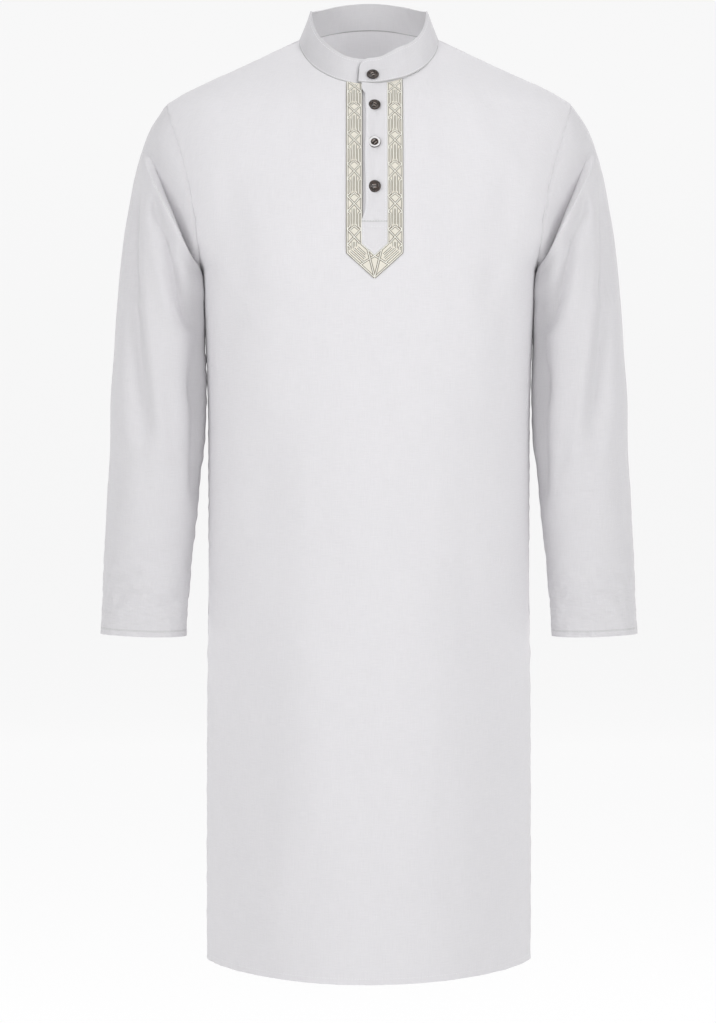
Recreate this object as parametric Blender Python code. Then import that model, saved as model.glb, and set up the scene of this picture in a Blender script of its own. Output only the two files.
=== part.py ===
"""A white thobe robe, hollow, with the shape it has when it is worn.

It is a calf-length tunic with a band collar, a half placket with four buttons set in an
embroidered trim, long set-in sleeves and a slit in each side seam. Metres, +Z up. The front
faces -Y and the wearer's left is +X. The origin is midway between the two points where the
shoulder seams meet the neck seam.

Every cloth piece is a wall: a grid of points in the middle of the cloth, moved half its
thickness each way and closed round its edges.
"""

import math

import bmesh
import bpy
import numpy as np
from mathutils import Matrix, Vector

# ---------------------------------------------------------------- driving sizes, in metres
CLOTH = 0.0015  # thickness of the body and sleeve walls
COLLAR_CLOTH = 0.0020
BAND_CLOTH = 0.0012
TRIM_CLOTH = 0.0010
SEAM_GAP = 0.0003  # between two pieces that are sewn together
LAY_GAP = 0.00035  # between a piece and the piece that it lies on

NECK_HALF = 0.0802  # from the middle to the neck end of a shoulder seam
NECK_DROP = 0.0595  # front neck below the shoulder's neck end
NECK_RISE = 0.0178  # back neck above it
NECK_BLEND = 0.1200  # how far down the back the lifted neck is felt
NECK_SOFT, NECK_SOFT_DROP = 0.45, 0.0220  # softens the lift's edge, fully so this far down
TIP_X, TIP_Z = 0.2350, -0.0755  # shoulder tip, where the sleeve seam starts
ARMPIT_Z = -0.2680
HEM_Z = -1.0765
SLIT_TOP_Z = -0.5960
SLIT_HALF = 0.0035  # half the gap of a side slit at the hem

RIM_HALF, RIM_FRONT, RIM_BACK = 0.0669, 0.0500, 0.0450  # the collar's upper edge, across and deep
COLLAR_HEIGHT, COLLAR_SIDE_EXTRA = 0.0305, 0.0030
COLLAR_FOOT, COLLAR_SIDE_FOOT = 0.0010, 0.0008  # from the neck seam up to the collar's wall
COLLAR_LAP = 0.0030  # the lapping end stands this far outside the end beneath
LAP_RISE, LAP_RISE_X, LAP_RISE_WIDE = 0.0044, 0.034, 0.017  # the taller stretch beside it
LAP_FROM, LAP_RUN = 290, 50  # where it starts to stand out and over how much, in degrees
LAP_EXTRA = 0.0040  # how far the lapping end reaches past the placket's edge
TAB_ROUND, TAB_DROP = 0.0135, 0.0170  # the lapping end's round corner, along and down

PLACKET_X = 0.0058
BAND_HALF = 0.01425
TRIM_HALF = 0.0312  # from the placket's middle to the trim's outer edge
CUT_FOOT_Z = -0.2180  # foot of the opening in the front
BAND_CORNER_Z, BAND_POINT_Z = -0.2425, -0.2550
TRIM_CORNER_Z, TRIM_POINT_Z = -0.2530, -0.2812

BUTTON_RADIUS, BUTTON_THICK = 0.0070, 0.0023
BUTTON_Z = (-0.0863, -0.1292, -0.1791)
TAB_BUTTON_X, TAB_BUTTON_Z = 0.0042, -0.0501

ROWS_ABOVE, ROWS_BELOW = 12, 15  # rows of a panel above and below the armpit
SIDE_COLUMNS = 7  # columns of a panel between the neck's side and its edge
BACK_NECK_COLUMNS = 12
COLLAR_COLUMNS, CORNER_COLUMNS, COLLAR_ROWS = 45, 6, 5
BAND_ROWS, BAND_COLUMNS = 20, 5
TRIM_ROWS, TRIM_COLUMNS = 18, 4
AROUND_BUTTON = 24
EDGE_FROM, EDGE_RUN = 0.82, 0.18  # shares of a section's width over which it closes at the seam
FOLD_FADE = 0.05  # folds fade where the body is less than this deep, near its seams
SHARP_EDGE = math.radians(45)


class Table:
    """Rows of named columns, read smoothly between its rows. The first column is the key."""

    def __init__(self, names, *rows):
        ordered = np.array(sorted(rows), float)
        self.key = ordered[:, 0]
        self.column = dict(zip(names.split(), ordered.T))

    def __call__(self, name, at):
        x, y = self.key, self.column[name]
        run = np.diff(x)
        rise = np.diff(y) / run
        before, after = rise[:-1], rise[1:]
        turns = before * after <= 0
        total = np.where(turns, 1, before + after)
        middle = np.where(turns, 0, 2 * before * after / total)
        slope = np.concatenate([rise[:1], middle, rise[-1:]])
        at = np.clip(at, x[0], x[-1])
        i = np.clip(np.searchsorted(x, at) - 1, 0, len(run) - 1)
        t = (at - x[i]) / run[i]
        return (
            y[i] * (1 + 2 * t) * (1 - t) ** 2
            + slope[i] * run[i] * t * (1 - t) ** 2
            + y[i + 1] * t * t * (3 - 2 * t)
            + slope[i + 1] * run[i] * t * t * (t - 1)
        )


# Level sections of the body. A section is a rounded lens: front and back say how deep it is,
# corner how square, and side how sharply it closes at the side seam.
BODY = Table(
    "z half_width chest_width front back corner side",
    (0.0000, 0.0802, 0.0802, 0.0000, 0.0555, 2.3, 0.50),
    (-0.0290, 0.1418, 0.1418, 0.0400, 0.0800, 2.3, 0.50),
    (-0.0580, 0.2052, 0.2052, 0.0715, 0.0970, 2.3, 0.50),
    (-0.0643, 0.2172, 0.2172, 0.0770, 0.1000, 2.3, 0.50),
    (-0.0712, 0.2285, 0.2275, 0.0827, 0.1030, 2.3, 0.50),
    (-0.0755, 0.2350, 0.2320, 0.0860, 0.1048, 2.3, 0.50),
    (-0.1020, 0.2450, 0.2390, 0.1026, 0.1140, 2.3, 0.50),
    (-0.1320, 0.2480, 0.2390, 0.1160, 0.1210, 2.3, 0.50),
    (-0.1720, 0.2420, 0.2330, 0.1276, 0.1260, 2.3, 0.50),
    (-0.2020, 0.2310, 0.2260, 0.1325, 0.1272, 2.3, 0.50),
    (-0.2320, 0.2150, 0.2180, 0.1352, 0.1274, 2.3, 0.50),
    (-0.2520, 0.2025, 0.2125, 0.1363, 0.1270, 2.3, 0.50),
    (-0.2680, 0.1926, 0.2085, 0.1370, 0.1265, 2.3, 0.50),
    (-0.2800, 0.1900, 0.2055, 0.1374, 0.1261, 2.3, 0.50),
    (-0.3020, 0.1883, 0.2010, 0.1380, 0.1255, 2.3, 0.50),
    (-0.3520, 0.1873, 0.1940, 0.1386, 0.1242, 2.3, 0.50),
    (-0.4500, 0.1872, 0.1885, 0.1393, 0.1225, 2.25, 0.52),
    (-0.5900, 0.1872, 0.1872, 0.1402, 0.1210, 2.2, 0.55),
    (-0.8060, 0.1897, 0.1897, 0.1420, 0.1200, 2.1, 0.62),
    (-1.0765, 0.1912, 0.1912, 0.1440, 0.1200, 2.0, 0.72),
)
# The shoulder seam and the armhole seam.
SHOULDER = Table(
    "x z",
    (0.0802, 0.0000),
    (0.1418, -0.0290),
    (0.2052, -0.0580),
    (0.2172, -0.0643),
    (0.2285, -0.0712),
    (0.2350, -0.0755),
)
ARMHOLE = Table(
    "z x",
    (-0.0755, 0.2350),
    (-0.1000, 0.2285),
    (-0.1300, 0.2195),
    (-0.1620, 0.2105),
    (-0.1895, 0.2050),
    (-0.2344, 0.1975),
    (-0.2580, 0.1940),
    (-0.2680, 0.1915),
)
# Rings of a sleeve, by their distance down its middle. The outer end of a ring is on the line
# over the arm and the inner end is on the line under it.
SLEEVE = Table(
    "down outer_x outer_z inner_x inner_z half_depth middle_y hug",
    (0.0000, 0.2350, -0.0755, 0.1940, -0.2680, 0.0700, 0.0000, 0.000),
    (0.0200, 0.2535, -0.1036, 0.1946, -0.2750, 0.0715, 0.0000, 0.001),
    (0.0360, 0.2630, -0.1268, 0.1944, -0.2830, 0.0710, -0.0005, 0.003),
    (0.0610, 0.2737, -0.1650, 0.1940, -0.2930, 0.0690, -0.0015, 0.008),
    (0.0850, 0.2803, -0.2000, 0.1936, -0.3060, 0.0670, -0.0025, 0.012),
    (0.1100, 0.2853, -0.2335, 0.1932, -0.3230, 0.0650, -0.0035, 0.014),
    (0.1430, 0.2902, -0.2740, 0.1928, -0.3470, 0.0630, -0.0050, 0.014),
    (0.1800, 0.2934, -0.3180, 0.1925, -0.3770, 0.0605, -0.0070, 0.013),
    (0.2180, 0.2963, -0.3580, 0.1922, -0.4120, 0.0575, -0.0090, 0.010),
    (0.2620, 0.2993, -0.4061, 0.1928, -0.4527, 0.0540, -0.0110, 0.004),
    (0.3140, 0.3012, -0.4620, 0.1963, -0.4995, 0.0495, -0.0130, 0.000),
    (0.3680, 0.3040, -0.5233, 0.2013, -0.5463, 0.0450, -0.0145, 0.000),
    (0.4325, 0.3076, -0.5937, 0.2078, -0.6050, 0.0380, -0.0155, 0.000),
    (0.5250, 0.3128, -0.6900, 0.2146, -0.6930, 0.0330, -0.0160, 0.000),
)
HUG_ANGLE, HUG_SPREAD = 148, 21  # where a sleeve's inner side bends round the body, in degrees
BACK_HUG = 0.5  # how much of that bend the sleeve has behind
SLEEVE_ROWS = (
    0, 0.009, 0.019, 0.031, 0.045, 0.062, 0.085, 0.112, 0.143, 0.18, 0.218, 0.262, 0.314, 0.368,
    0.42, 0.47, 0.525,
)  # fmt: skip
CAP_BLEND = 0.045  # how far down the sleeve the armhole's own shape is felt
SLEEVE_RADIUS = 0.065  # turns an angle round the sleeve into a length
ARM_CLEAR = Table("z gap", (-0.2680, 0.0026), (-0.2300, 0.0013), (-0.0755, 0.0011))

# Soft ridges (raised) and troughs (sunk), each from one place to another. On a panel a place is
# x and z. On a sleeve it is the distance down and the angle from the line over the arm, with
# the front at 90 degrees and the back at 270.
FRONT_FOLDS = (
    # x_from, z_from, x_to, z_to, width, raised
    (-0.1300, -0.6600, -0.1180, -0.9300, 0.030, -0.0045),
    (0.1360, -0.6300, 0.1240, -0.8300, 0.026, -0.0035),
    (-0.0650, -0.6200, -0.0600, -0.9000, 0.032, 0.0030),
    (0.0500, -0.5600, 0.0650, -0.9200, 0.040, 0.0030),
    (-0.1650, -0.1650, -0.1350, -0.2900, 0.018, -0.0030),
    (0.1650, -0.1650, 0.1350, -0.2900, 0.018, -0.0030),
)
BACK_FOLDS = (
    (-0.1120, -0.5200, -0.1240, -0.9000, 0.030, -0.0050),
    (0.0950, -0.5700, 0.1150, -0.9500, 0.032, -0.0045),
    (-0.0350, -0.4200, -0.0450, -0.8200, 0.034, 0.0035),
    (0.0400, -0.6200, 0.0300, -0.9600, 0.034, -0.0030),
    (-0.1600, -0.1700, -0.1200, -0.3100, 0.018, -0.0035),
    (0.1600, -0.1700, 0.1200, -0.3100, 0.018, -0.0035),
)
SLEEVE_FOLDS = (
    # down_from, angle_from, down_to, angle_to, width, raised
    (0.0170, 62, 0.0060, 150, 0.0095, -0.0060),
    (0.0440, 60, 0.0230, 140, 0.0110, 0.0030),
    (0.0580, 81, 0.0640, 121, 0.0110, -0.0035),
    (0.0700, 124, 0.1700, 146, 0.0120, -0.0035),
    (0.1150, 50, 0.2500, 55, 0.0160, -0.0020),
    (0.0160, 298, 0.0060, 212, 0.0095, -0.0055),
    (0.0430, 296, 0.0240, 222, 0.0110, 0.0030),
    (0.0620, 272, 0.0760, 232, 0.0120, -0.0035),
    (0.1450, 250, 0.3000, 262, 0.0160, -0.0030),
)

# ---------------------------------------------------------------- the form


def raised(u, v, folds):
    """How far the cloth stands out at a place, from all the folds together."""
    total = np.zeros(np.broadcast(u, v).shape)
    for u_from, v_from, u_to, v_to, width, height in folds:
        run_u, run_v = u_to - u_from, v_to - v_from
        length = math.hypot(run_u, run_v)
        along = ((u - u_from) * run_u + (v - v_from) * run_v) / length**2
        across = ((u - u_from) * run_v - (v - v_from) * run_u) / length
        total = total + height * np.exp(-((2 * along - 1) ** 6) - (across / width) ** 2)
    return total


def ease(share):
    """Runs smoothly from 0 to 1."""
    share = np.clip(share, 0, 1)
    return share * share * (3 - 2 * share)


def body_depth(side, x, z):
    """The y of the front (side -1) or the back (side 1) of the body, without folds.

    The chest keeps its own width up to near the edge, where the section closes at the seam.
    Behind, the sections next to the neck are lifted with the neck seam.
    """
    if side > 0:
        z = z - back_lift(x, z)
    deep = BODY("front" if side < 0 else "back", z)
    edge = BODY("half_width", z)
    near_edge = ease((np.abs(x) / edge - EDGE_FROM) / EDGE_RUN)
    width = edge * near_edge + BODY("chest_width", z) * (1 - near_edge)
    share = np.clip(np.abs(x) / width, 0, 1)
    return side * deep * (1 - share ** BODY("corner", z)) ** BODY("side", z)


def body_point(side, x, z):
    """A point of the body with its folds."""
    folds = FRONT_FOLDS if side < 0 else BACK_FOLDS
    y = body_depth(side, x, z)
    fade = np.clip(np.abs(y) / FOLD_FADE, 0, 1)
    return np.stack(np.broadcast_arrays(x, y + side * fade * raised(x, z, folds), z), axis=-1)


def slit_half(z):
    """Half the gap of the side slit."""
    return SLIT_HALF * np.clip((SLIT_TOP_Z - z) / (SLIT_TOP_Z - HEM_Z), 0, 1)


def panel_edge(side, z):
    """The x of a panel's outer edge: the armhole, then the side seam, then the slit."""
    deep = BODY("front" if side < 0 else "back", z)
    open_share = (slit_half(z) / deep) ** (1 / BODY("side", z))
    seam = BODY("half_width", z) * (1 - open_share) ** (1 / BODY("corner", z))
    return np.where(z >= ARMPIT_Z, ARMHOLE("x", z), seam)


def neck_z(side, x):
    """The height of the neck seam over a point between the shoulder seams."""
    level = np.clip(1 - (x / NECK_HALF) ** 2, 0, 1)
    return -NECK_DROP * np.sqrt(level) if side < 0 else NECK_RISE * level


def back_lift(x, z):
    """How far the neck seam lifts the sections behind: all of it there, softer further down."""
    level = 1 - (x / NECK_HALF) ** 2
    soft = NECK_SOFT * ease(-z / NECK_SOFT_DROP)
    return NECK_RISE * (level + np.hypot(level, soft)) / 2 * ease(1 + z / NECK_BLEND)


def panel_grid(side, columns):
    """A panel's middle surface, from the neck to the hem and from one edge to the other.

    columns are the x of those that end on the neck seam. The others fan out between the last
    of these and the panel's edge, closer together where the section curves in to the seam.
    """
    share = np.sin(np.linspace(0, math.pi / 2, SIDE_COLUMNS + 1))[1:]
    drop = (1 - np.cos(np.linspace(0, math.pi, ROWS_ABOVE + 1))) / 2
    below = np.linspace(ARMPIT_Z, HEM_Z, ROWS_BELOW + 1)[1:]
    edge_z = np.concatenate([TIP_Z + (ARMPIT_Z - TIP_Z) * drop, below])
    edge_x = panel_edge(side, edge_z)

    def column(top_z, x):
        z = np.concatenate([top_z + (ARMPIT_Z - top_z) * drop, below])
        return body_point(side, x, z)

    def fan(part, way):
        top_z = SHOULDER("z", NECK_HALF + part * (TIP_X - NECK_HALF))
        return column(top_z, way * (NECK_HALF + part * (edge_x - NECK_HALF)))

    middle = [column(neck_z(side, x), np.full(edge_z.shape, x)) for x in columns]
    right = [fan(part, -1) for part in share[::-1]]
    left = [fan(part, 1) for part in share]
    grid = np.stack(right + middle + left, axis=1)

    grid[0, : SIDE_COLUMNS + 1, 1] = grid[0, -SIDE_COLUMNS - 1 :, 1] = side * SEAM_GAP / 2
    for end in (0, -1):
        grid[ROWS_ABOVE:, end, 1] = side * np.maximum(SEAM_GAP / 2, slit_half(edge_z[ROWS_ABOVE:]))
    return grid


def seam_places(grid):
    """Where a panel meets the other panel, so that both walls end on one plane."""
    at_seam = np.zeros(grid.shape[:2], bool)
    at_seam[0, : SIDE_COLUMNS + 1] = at_seam[0, -SIDE_COLUMNS - 1 :] = True
    at_seam[ROWS_ABOVE:, (0, -1)] = True
    return at_seam


def armhole_ring(front, back):
    """The armhole on the wearer's left, from the shoulder down the front and up the back."""
    down_front = front[: ROWS_ABOVE + 1, -1]
    up_back = back[ROWS_ABOVE - 1 : 0 : -1, -1]
    ring = np.concatenate([down_front, up_back])
    ring[0, 1] = ring[ROWS_ABOVE, 1] = 0
    ring[:, 0] += ARM_CLEAR("gap", ring[:, 2])
    return ring


def sleeve_ring(down, angle):
    """Points of one ring of the left sleeve. The angle starts over the arm and runs to the front."""
    outer = np.array([SLEEVE("outer_x", down), SLEEVE("outer_z", down)])
    inner = np.array([SLEEVE("inner_x", down), SLEEVE("inner_z", down)])
    middle, reach = (outer + inner) / 2, (outer - inner) / 2
    out = raised(down, angle * SLEEVE_RADIUS, [fold_in_metres(fold) for fold in SLEEVE_FOLDS])
    deep = SLEEVE("half_depth", down) + out
    x = middle[0] + (reach[0] + out) * np.cos(angle)
    for way, share in ((HUG_ANGLE, 1), (360 - HUG_ANGLE, BACK_HUG)):
        bend = share * np.exp(-(((np.degrees(angle) - way) / HUG_SPREAD) ** 2))
        x = x - SLEEVE("hug", down) * bend
    y = SLEEVE("middle_y", down) - deep * np.sin(angle)
    z = middle[1] + reach[1] * np.cos(angle)
    return np.stack([x, y, z], axis=-1)


def fold_in_metres(fold):
    """A sleeve fold with its angles turned into lengths round the sleeve."""
    down_from, angle_from, down_to, angle_to, width, height = fold
    turn = math.radians(SLEEVE_RADIUS)
    return (down_from, angle_from * turn, down_to, angle_to * turn, width, height)


def sleeve_grid(armhole):
    """The left sleeve's middle surface. Its first rings ease from the armhole to the tube."""
    angle = np.arange(2 * ROWS_ABOVE) * math.pi / ROWS_ABOVE
    step = armhole - sleeve_ring(0, angle)
    rings = []
    for down in SLEEVE_ROWS:
        left_over = max(0.0, 1 - down / CAP_BLEND) ** 2
        rings.append(sleeve_ring(down, angle) + step * left_over)
    return np.array(rings)


def neck_corners(front, back):
    """The corners of the panels on the neck seam, each with its angle.

    The angle is 0 in the middle of the front and grows towards the wearer's right.
    """
    on_neck = slice(SIDE_COLUMNS, -SIDE_COLUMNS)
    ahead, behind = front[0, on_neck], back[0, on_neck][1:-1]
    turn = np.concatenate(
        [
            np.arcsin(np.clip(-ahead[:, 0] / NECK_HALF, -1, 1)),
            math.pi + np.arcsin(behind[:, 0] / NECK_HALF),
        ]
    )
    return turn, np.concatenate([ahead, behind])


def collar_line(turn, corners):
    """The neck seam, straight from one corner to the next, and the collar's rounder rim."""
    across, ahead = np.sin(turn), np.cos(turn)
    at, point = corners
    seam = np.stack([np.interp(turn, at, point[:, k], period=2 * math.pi) for k in range(3)], -1)
    rim_y = -ahead * np.where(ahead > 0, RIM_FRONT, RIM_BACK)
    neck = np.where(ahead > 0, -NECK_DROP * ahead, NECK_RISE * ahead**2)
    rim_z = neck + COLLAR_HEIGHT + COLLAR_SIDE_EXTRA * across**2
    beside_tab = np.exp(-(((-RIM_HALF * across - LAP_RISE_X) / LAP_RISE_WIDE) ** 2))
    rim_z = rim_z + LAP_RISE * beside_tab * (ahead > 0)
    return seam, np.stack([-RIM_HALF * across, rim_y, rim_z], axis=-1)


def collar_grid(corners):
    """The collar, one strip that starts under its own lapping end and has a round corner there."""
    under_end = -math.asin((PLACKET_X + BAND_HALF) / NECK_HALF)
    lap_end = 2 * math.pi + math.asin((BAND_HALF - PLACKET_X + LAP_EXTRA) / NECK_HALF)
    round_turn = TAB_ROUND / NECK_HALF
    plain = np.linspace(under_end, lap_end - round_turn, COLLAR_COLUMNS)
    into_corner = np.linspace(0, math.pi / 2, CORNER_COLUMNS + 1)[1:]
    corner = lap_end - round_turn * (1 - np.sin(into_corner))
    turn = np.concatenate([plain, corner])
    seam, rim = collar_line(turn, corners)
    from_end = np.clip((lap_end - turn) / round_turn, 0, 1)
    drop = TAB_DROP * (1 - np.sqrt(1 - (1 - from_end) ** 2))
    rise = np.linalg.norm(rim - seam, axis=-1)
    foot = (COLLAR_FOOT + COLLAR_SIDE_FOOT * np.sin(turn) ** 2) / rise
    share = foot[:, None] + (1 - drop / rise - foot)[:, None] * np.linspace(0, 1, COLLAR_ROWS)
    grid = seam[:, None] + (rim - seam)[:, None] * share[..., None]
    lap = COLLAR_LAP * ease((np.degrees(turn) - LAP_FROM) / LAP_RUN)
    return grid - grid_normals(grid) * lap[:, None, None]


# ---------------------------------------------------------------- walls


def grid_normals(points, ring=False):
    """The direction square to the cloth at each point of a grid."""
    if ring:
        points = np.concatenate([points[:, -1:], points, points[:, :1]], axis=1)
    down, over = np.gradient(points, axis=0), np.gradient(points, axis=1)
    normal = np.cross(down, over)
    normal /= np.linalg.norm(normal, axis=-1, keepdims=True)
    return normal[:, 1:-1] if ring else normal


def on_front(x, z, lift):
    """Points over the front panel, moved out by lift."""
    step = 0.002
    here = body_point(-1, x, z)
    across = body_point(-1, x + step, z) - body_point(-1, x - step, z)
    down = body_point(-1, x, z - step) - body_point(-1, x, z + step)
    out = np.cross(across, down)
    out *= -np.sign(out[..., 1:2])
    return here + lift * out / np.linalg.norm(out, axis=-1, keepdims=True)


def wall(name, material, points, thick, ring=False, left_out=(), level=None):
    """Closes a grid of middle points into a wall of cloth.

    ring joins the last column to the first, left_out names faces by row and column, and level
    marks points whose wall ends on the plane between the front and the back.
    """
    normal = grid_normals(points, ring)
    if level is not None:
        normal[level, 1] = 0
        normal /= np.linalg.norm(normal, axis=-1, keepdims=True)
    rows, columns = points.shape[:2]
    spot = np.arange(rows * columns).reshape(rows, columns)
    place = points.reshape(-1, 3)
    faces = []
    for i in range(rows - 1):
        for j in range(columns if ring else columns - 1):
            if (i, j) not in left_out:
                k = (j + 1) % columns
                a, b, c, d = spot[i, j], spot[i + 1, j], spot[i + 1, k], spot[i, k]
                if math.dist(place[a], place[c]) < math.dist(place[b], place[d]):
                    faces += [(a, b, c), (a, c, d)]
                else:
                    faces += [(a, b, d), (b, c, d)]
    edges = {(face[n - 1], face[n]) for face in faces for n in range(3)}
    free = [(a, b) for a, b in sorted(edges) if (b, a) not in edges]
    far = rows * columns
    closed = (
        faces
        + [tuple(corner + far for corner in reversed(face)) for face in faces]
        + [(b, a, a + far, b + far) for a, b in free]
    )
    both = np.concatenate(
        [(points + normal * side * thick / 2).reshape(-1, 3) for side in (1, -1)]
    )
    shell = bmesh.new()
    corners = [shell.verts.new(point) for point in both]
    for face in closed:
        shell.faces.new([corners[corner] for corner in face])
    loose = [corner for corner in shell.verts if not corner.link_faces]
    bmesh.ops.delete(shell, geom=loose, context="VERTS")
    if shell.calc_volume(signed=True) < 0:
        bmesh.ops.reverse_faces(shell, faces=shell.faces)
    return placed(name, finished_mesh(name, shell, material))


def finished_mesh(name, shell, material):
    mesh = bpy.data.meshes.new(name)
    shell.to_mesh(mesh)
    shell.free()
    mesh.materials.append(material)
    mesh.shade_smooth()
    mesh.set_sharp_from_angle(angle=SHARP_EDGE)
    return mesh


def placed(name, mesh):
    piece = bpy.data.objects.new(name, mesh)
    bpy.context.collection.objects.link(piece)
    return piece


# ---------------------------------------------------------------- the pieces


def finish(name, colour, roughness):
    material = bpy.data.materials.new(name)
    material.use_nodes = True
    shader = material.node_tree.nodes["Principled BSDF"]
    shader.inputs["Base Color"].default_value = (*colour, 1)
    shader.inputs["Roughness"].default_value = roughness
    return material


def placket_opening(front, columns):
    """The faces of the front that the placket's opening cuts out, and the height of its foot."""
    first = SIDE_COLUMNS + columns.index(PLACKET_X - BAND_HALF)
    last = SIDE_COLUMNS + columns.index(PLACKET_X + BAND_HALF)
    height = front[:, first : last + 1, 2]
    foot = int(np.argmin(np.abs(height.mean(axis=1) - CUT_FOOT_Z)))
    return {(i, j) for i in range(foot) for j in range(first, last)}, height[foot].max()


def band(name, material, lift, half, corner_z, point_z):
    """A placket band over the front, from the neck seam to its foot, which may be a point."""
    x = PLACKET_X + half * np.linspace(-1, 1, BAND_COLUMNS)
    top = neck_z(-1, x)
    foot = point_z + (corner_z - point_z) * np.abs(x - PLACKET_X) / half
    z = top + (foot - top) * np.linspace(0, 1, BAND_ROWS)[:, None]
    points = on_front(np.broadcast_to(x, z.shape), z, lift)
    return wall(name, material, points, BAND_CLOTH)


def trim(name, material, lift):
    """The embroidered trim: down one side of the placket, round its point and up the other."""
    inner, outer = BAND_HALF + SEAM_GAP, TRIM_HALF
    share = np.linspace(0, 1, TRIM_COLUMNS)
    half = inner + (outer - inner) * share
    corner = BAND_CORNER_Z + (TRIM_CORNER_Z - BAND_CORNER_Z) * share
    point = BAND_POINT_Z - SEAM_GAP + (TRIM_POINT_Z - BAND_POINT_Z + SEAM_GAP) * share
    down = np.linspace(0, 1, TRIM_ROWS)[:, None]
    arm = np.linspace(0, 1, TRIM_COLUMNS)[1:, None]
    sides = []
    for way in (-1, 1):
        top = neck_z(-1, PLACKET_X + way * half)
        straight_x = np.broadcast_to(PLACKET_X + way * half, (len(down), len(half)))
        straight_z = top + (corner - top) * down
        arm_x = PLACKET_X + way * half * (1 - arm)
        arm_z = corner + (point - corner) * arm
        x = np.concatenate([straight_x, arm_x])
        z = np.concatenate([straight_z, arm_z])
        sides.append(on_front(x, z, lift))
    points = np.concatenate([sides[0], sides[1][-2::-1]])
    return wall(name, material, points, TRIM_CLOTH)


def button_shape(material):
    """A shirt button, turned: a flat back, a rounded edge, a raised rim and a sunk middle."""
    radius, thick = BUTTON_RADIUS, BUTTON_THICK
    profile = (
        (0, 0),
        (radius * 0.80, 0),
        (radius, thick * 0.40),
        (radius * 0.97, thick * 0.85),
        (radius * 0.86, thick),
        (radius * 0.70, thick * 0.90),
        (radius * 0.58, thick * 0.62),
        (0, thick * 0.55),
    )
    shape = bmesh.new()
    corners = [shape.verts.new((r, 0, h)) for r, h in profile]
    edges = [shape.edges.new(pair) for pair in zip(corners, corners[1:])]
    bmesh.ops.spin(
        shape,
        geom=corners + edges,
        axis=(0, 0, 1),
        angle=2 * math.pi,
        steps=AROUND_BUTTON,
        use_merge=True,
    )
    bmesh.ops.remove_doubles(shape, verts=shape.verts, dist=1e-6)
    bmesh.ops.recalc_face_normals(shape, faces=shape.faces)
    return finished_mesh("button", shape, material)


def seat_on(point, out):
    """The place of a button whose back faces a surface at point."""
    out = Vector(out).normalized()
    turn = out.to_track_quat("Z", "Y").to_matrix().to_4x4()
    return Matrix.Translation(Vector(point)) @ turn


def buttons(material, band_lift, corners):
    """Button 1 is on the collar's lapping end and the others are down the placket."""
    mesh = button_shape(material)
    face = band_lift + BAND_CLOTH / 2
    seats = [tab_button_seat(corners)]
    for z in BUTTON_Z:
        foot = on_front(PLACKET_X, z, face)
        above = on_front(PLACKET_X, z, face + LAY_GAP)
        seats.append(seat_on(above, above - foot))
    pieces = []
    for number, seat in enumerate(seats, start=1):
        button = placed(f"button_{number}", mesh)
        button.matrix_world = seat
        pieces.append(button)
    return pieces


def tab_button_seat(corners):
    """The top button lies on the collar's lapping end."""
    turn = 2 * math.pi - math.asin(TAB_BUTTON_X / NECK_HALF)
    step = 0.02
    seam, rim = collar_line(np.array([turn - step, turn, turn + step]), corners)
    share = (TAB_BUTTON_Z - seam[1, 2]) / (rim[1, 2] - seam[1, 2])
    line = seam + (rim - seam) * share
    out = np.cross(rim[1] - seam[1], line[2] - line[0])
    out /= np.linalg.norm(out)
    out *= -np.sign(out[1])
    return seat_on(line[1] + out * (COLLAR_LAP + COLLAR_CLOTH / 2 + LAY_GAP), out)


def build():
    for thing in list(bpy.data.objects):
        bpy.data.objects.remove(thing)
    white = finish("white_cloth", (0.80, 0.80, 0.82), 0.85)
    gold = finish("cream_gold_thread", (0.72, 0.66, 0.50), 0.55)
    shell_brown = finish("dark_button", (0.06, 0.04, 0.03), 0.25)

    left, right = PLACKET_X - BAND_HALF, PLACKET_X + BAND_HALF
    front_columns = [-NECK_HALF, -0.0750, -0.0665, -0.0555, -0.0413, PLACKET_X - TRIM_HALF, left]
    front_columns += [PLACKET_X, right, PLACKET_X + TRIM_HALF, 0.0530, 0.0660, 0.0750, NECK_HALF]
    back_turns = np.linspace(-math.pi / 2, math.pi / 2, BACK_NECK_COLUMNS)
    front = panel_grid(-1, front_columns)
    back = panel_grid(1, NECK_HALF * np.sin(back_turns))
    cut, foot_z = placket_opening(front, front_columns)

    pieces = [
        wall("front", white, front, CLOTH, left_out=cut, level=seam_places(front)),
        wall("back", white, back, CLOTH, level=seam_places(back)),
    ]
    sleeve = sleeve_grid(armhole_ring(front, back))
    pieces.append(wall("sleeve_left", white, sleeve, CLOTH, ring=True))
    pieces.append(wall("sleeve_right", white, sleeve * (-1, 1, 1), CLOTH, ring=True))
    corners = neck_corners(front, back)
    pieces.append(wall("collar", white, collar_grid(corners), COLLAR_CLOTH))

    over_lift = CLOTH / 2 + LAY_GAP + BAND_CLOTH / 2
    trim_lift = CLOTH / 2 + LAY_GAP + TRIM_CLOTH / 2
    under_foot = foot_z + SEAM_GAP
    pieces.append(band("placket_under", white, 0, BAND_HALF - SEAM_GAP, under_foot, under_foot))
    pieces.append(band("placket_over", white, over_lift, BAND_HALF, BAND_CORNER_Z, BAND_POINT_Z))
    pieces.append(trim("trim", gold, trim_lift))
    pieces.extend(buttons(shell_brown, over_lift, corners))

    robe = bpy.data.objects.new("thobe_robe", None)
    bpy.context.collection.objects.link(robe)
    for piece in pieces:
        piece.parent = robe


build()
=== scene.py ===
"""Dresses the white thobe robe: woven cloth with its hems and seams, embroidery and buttons.

The form is the solids' own form, worked out again at a finer pitch and with the creases, seam
puckers and turned hems of real cloth. Metres, +Z up, front towards -Y, the wearer's left at +X.
"""

import math

import bmesh
import bpy
import numpy as np
from mathutils import Matrix, Vector


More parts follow.
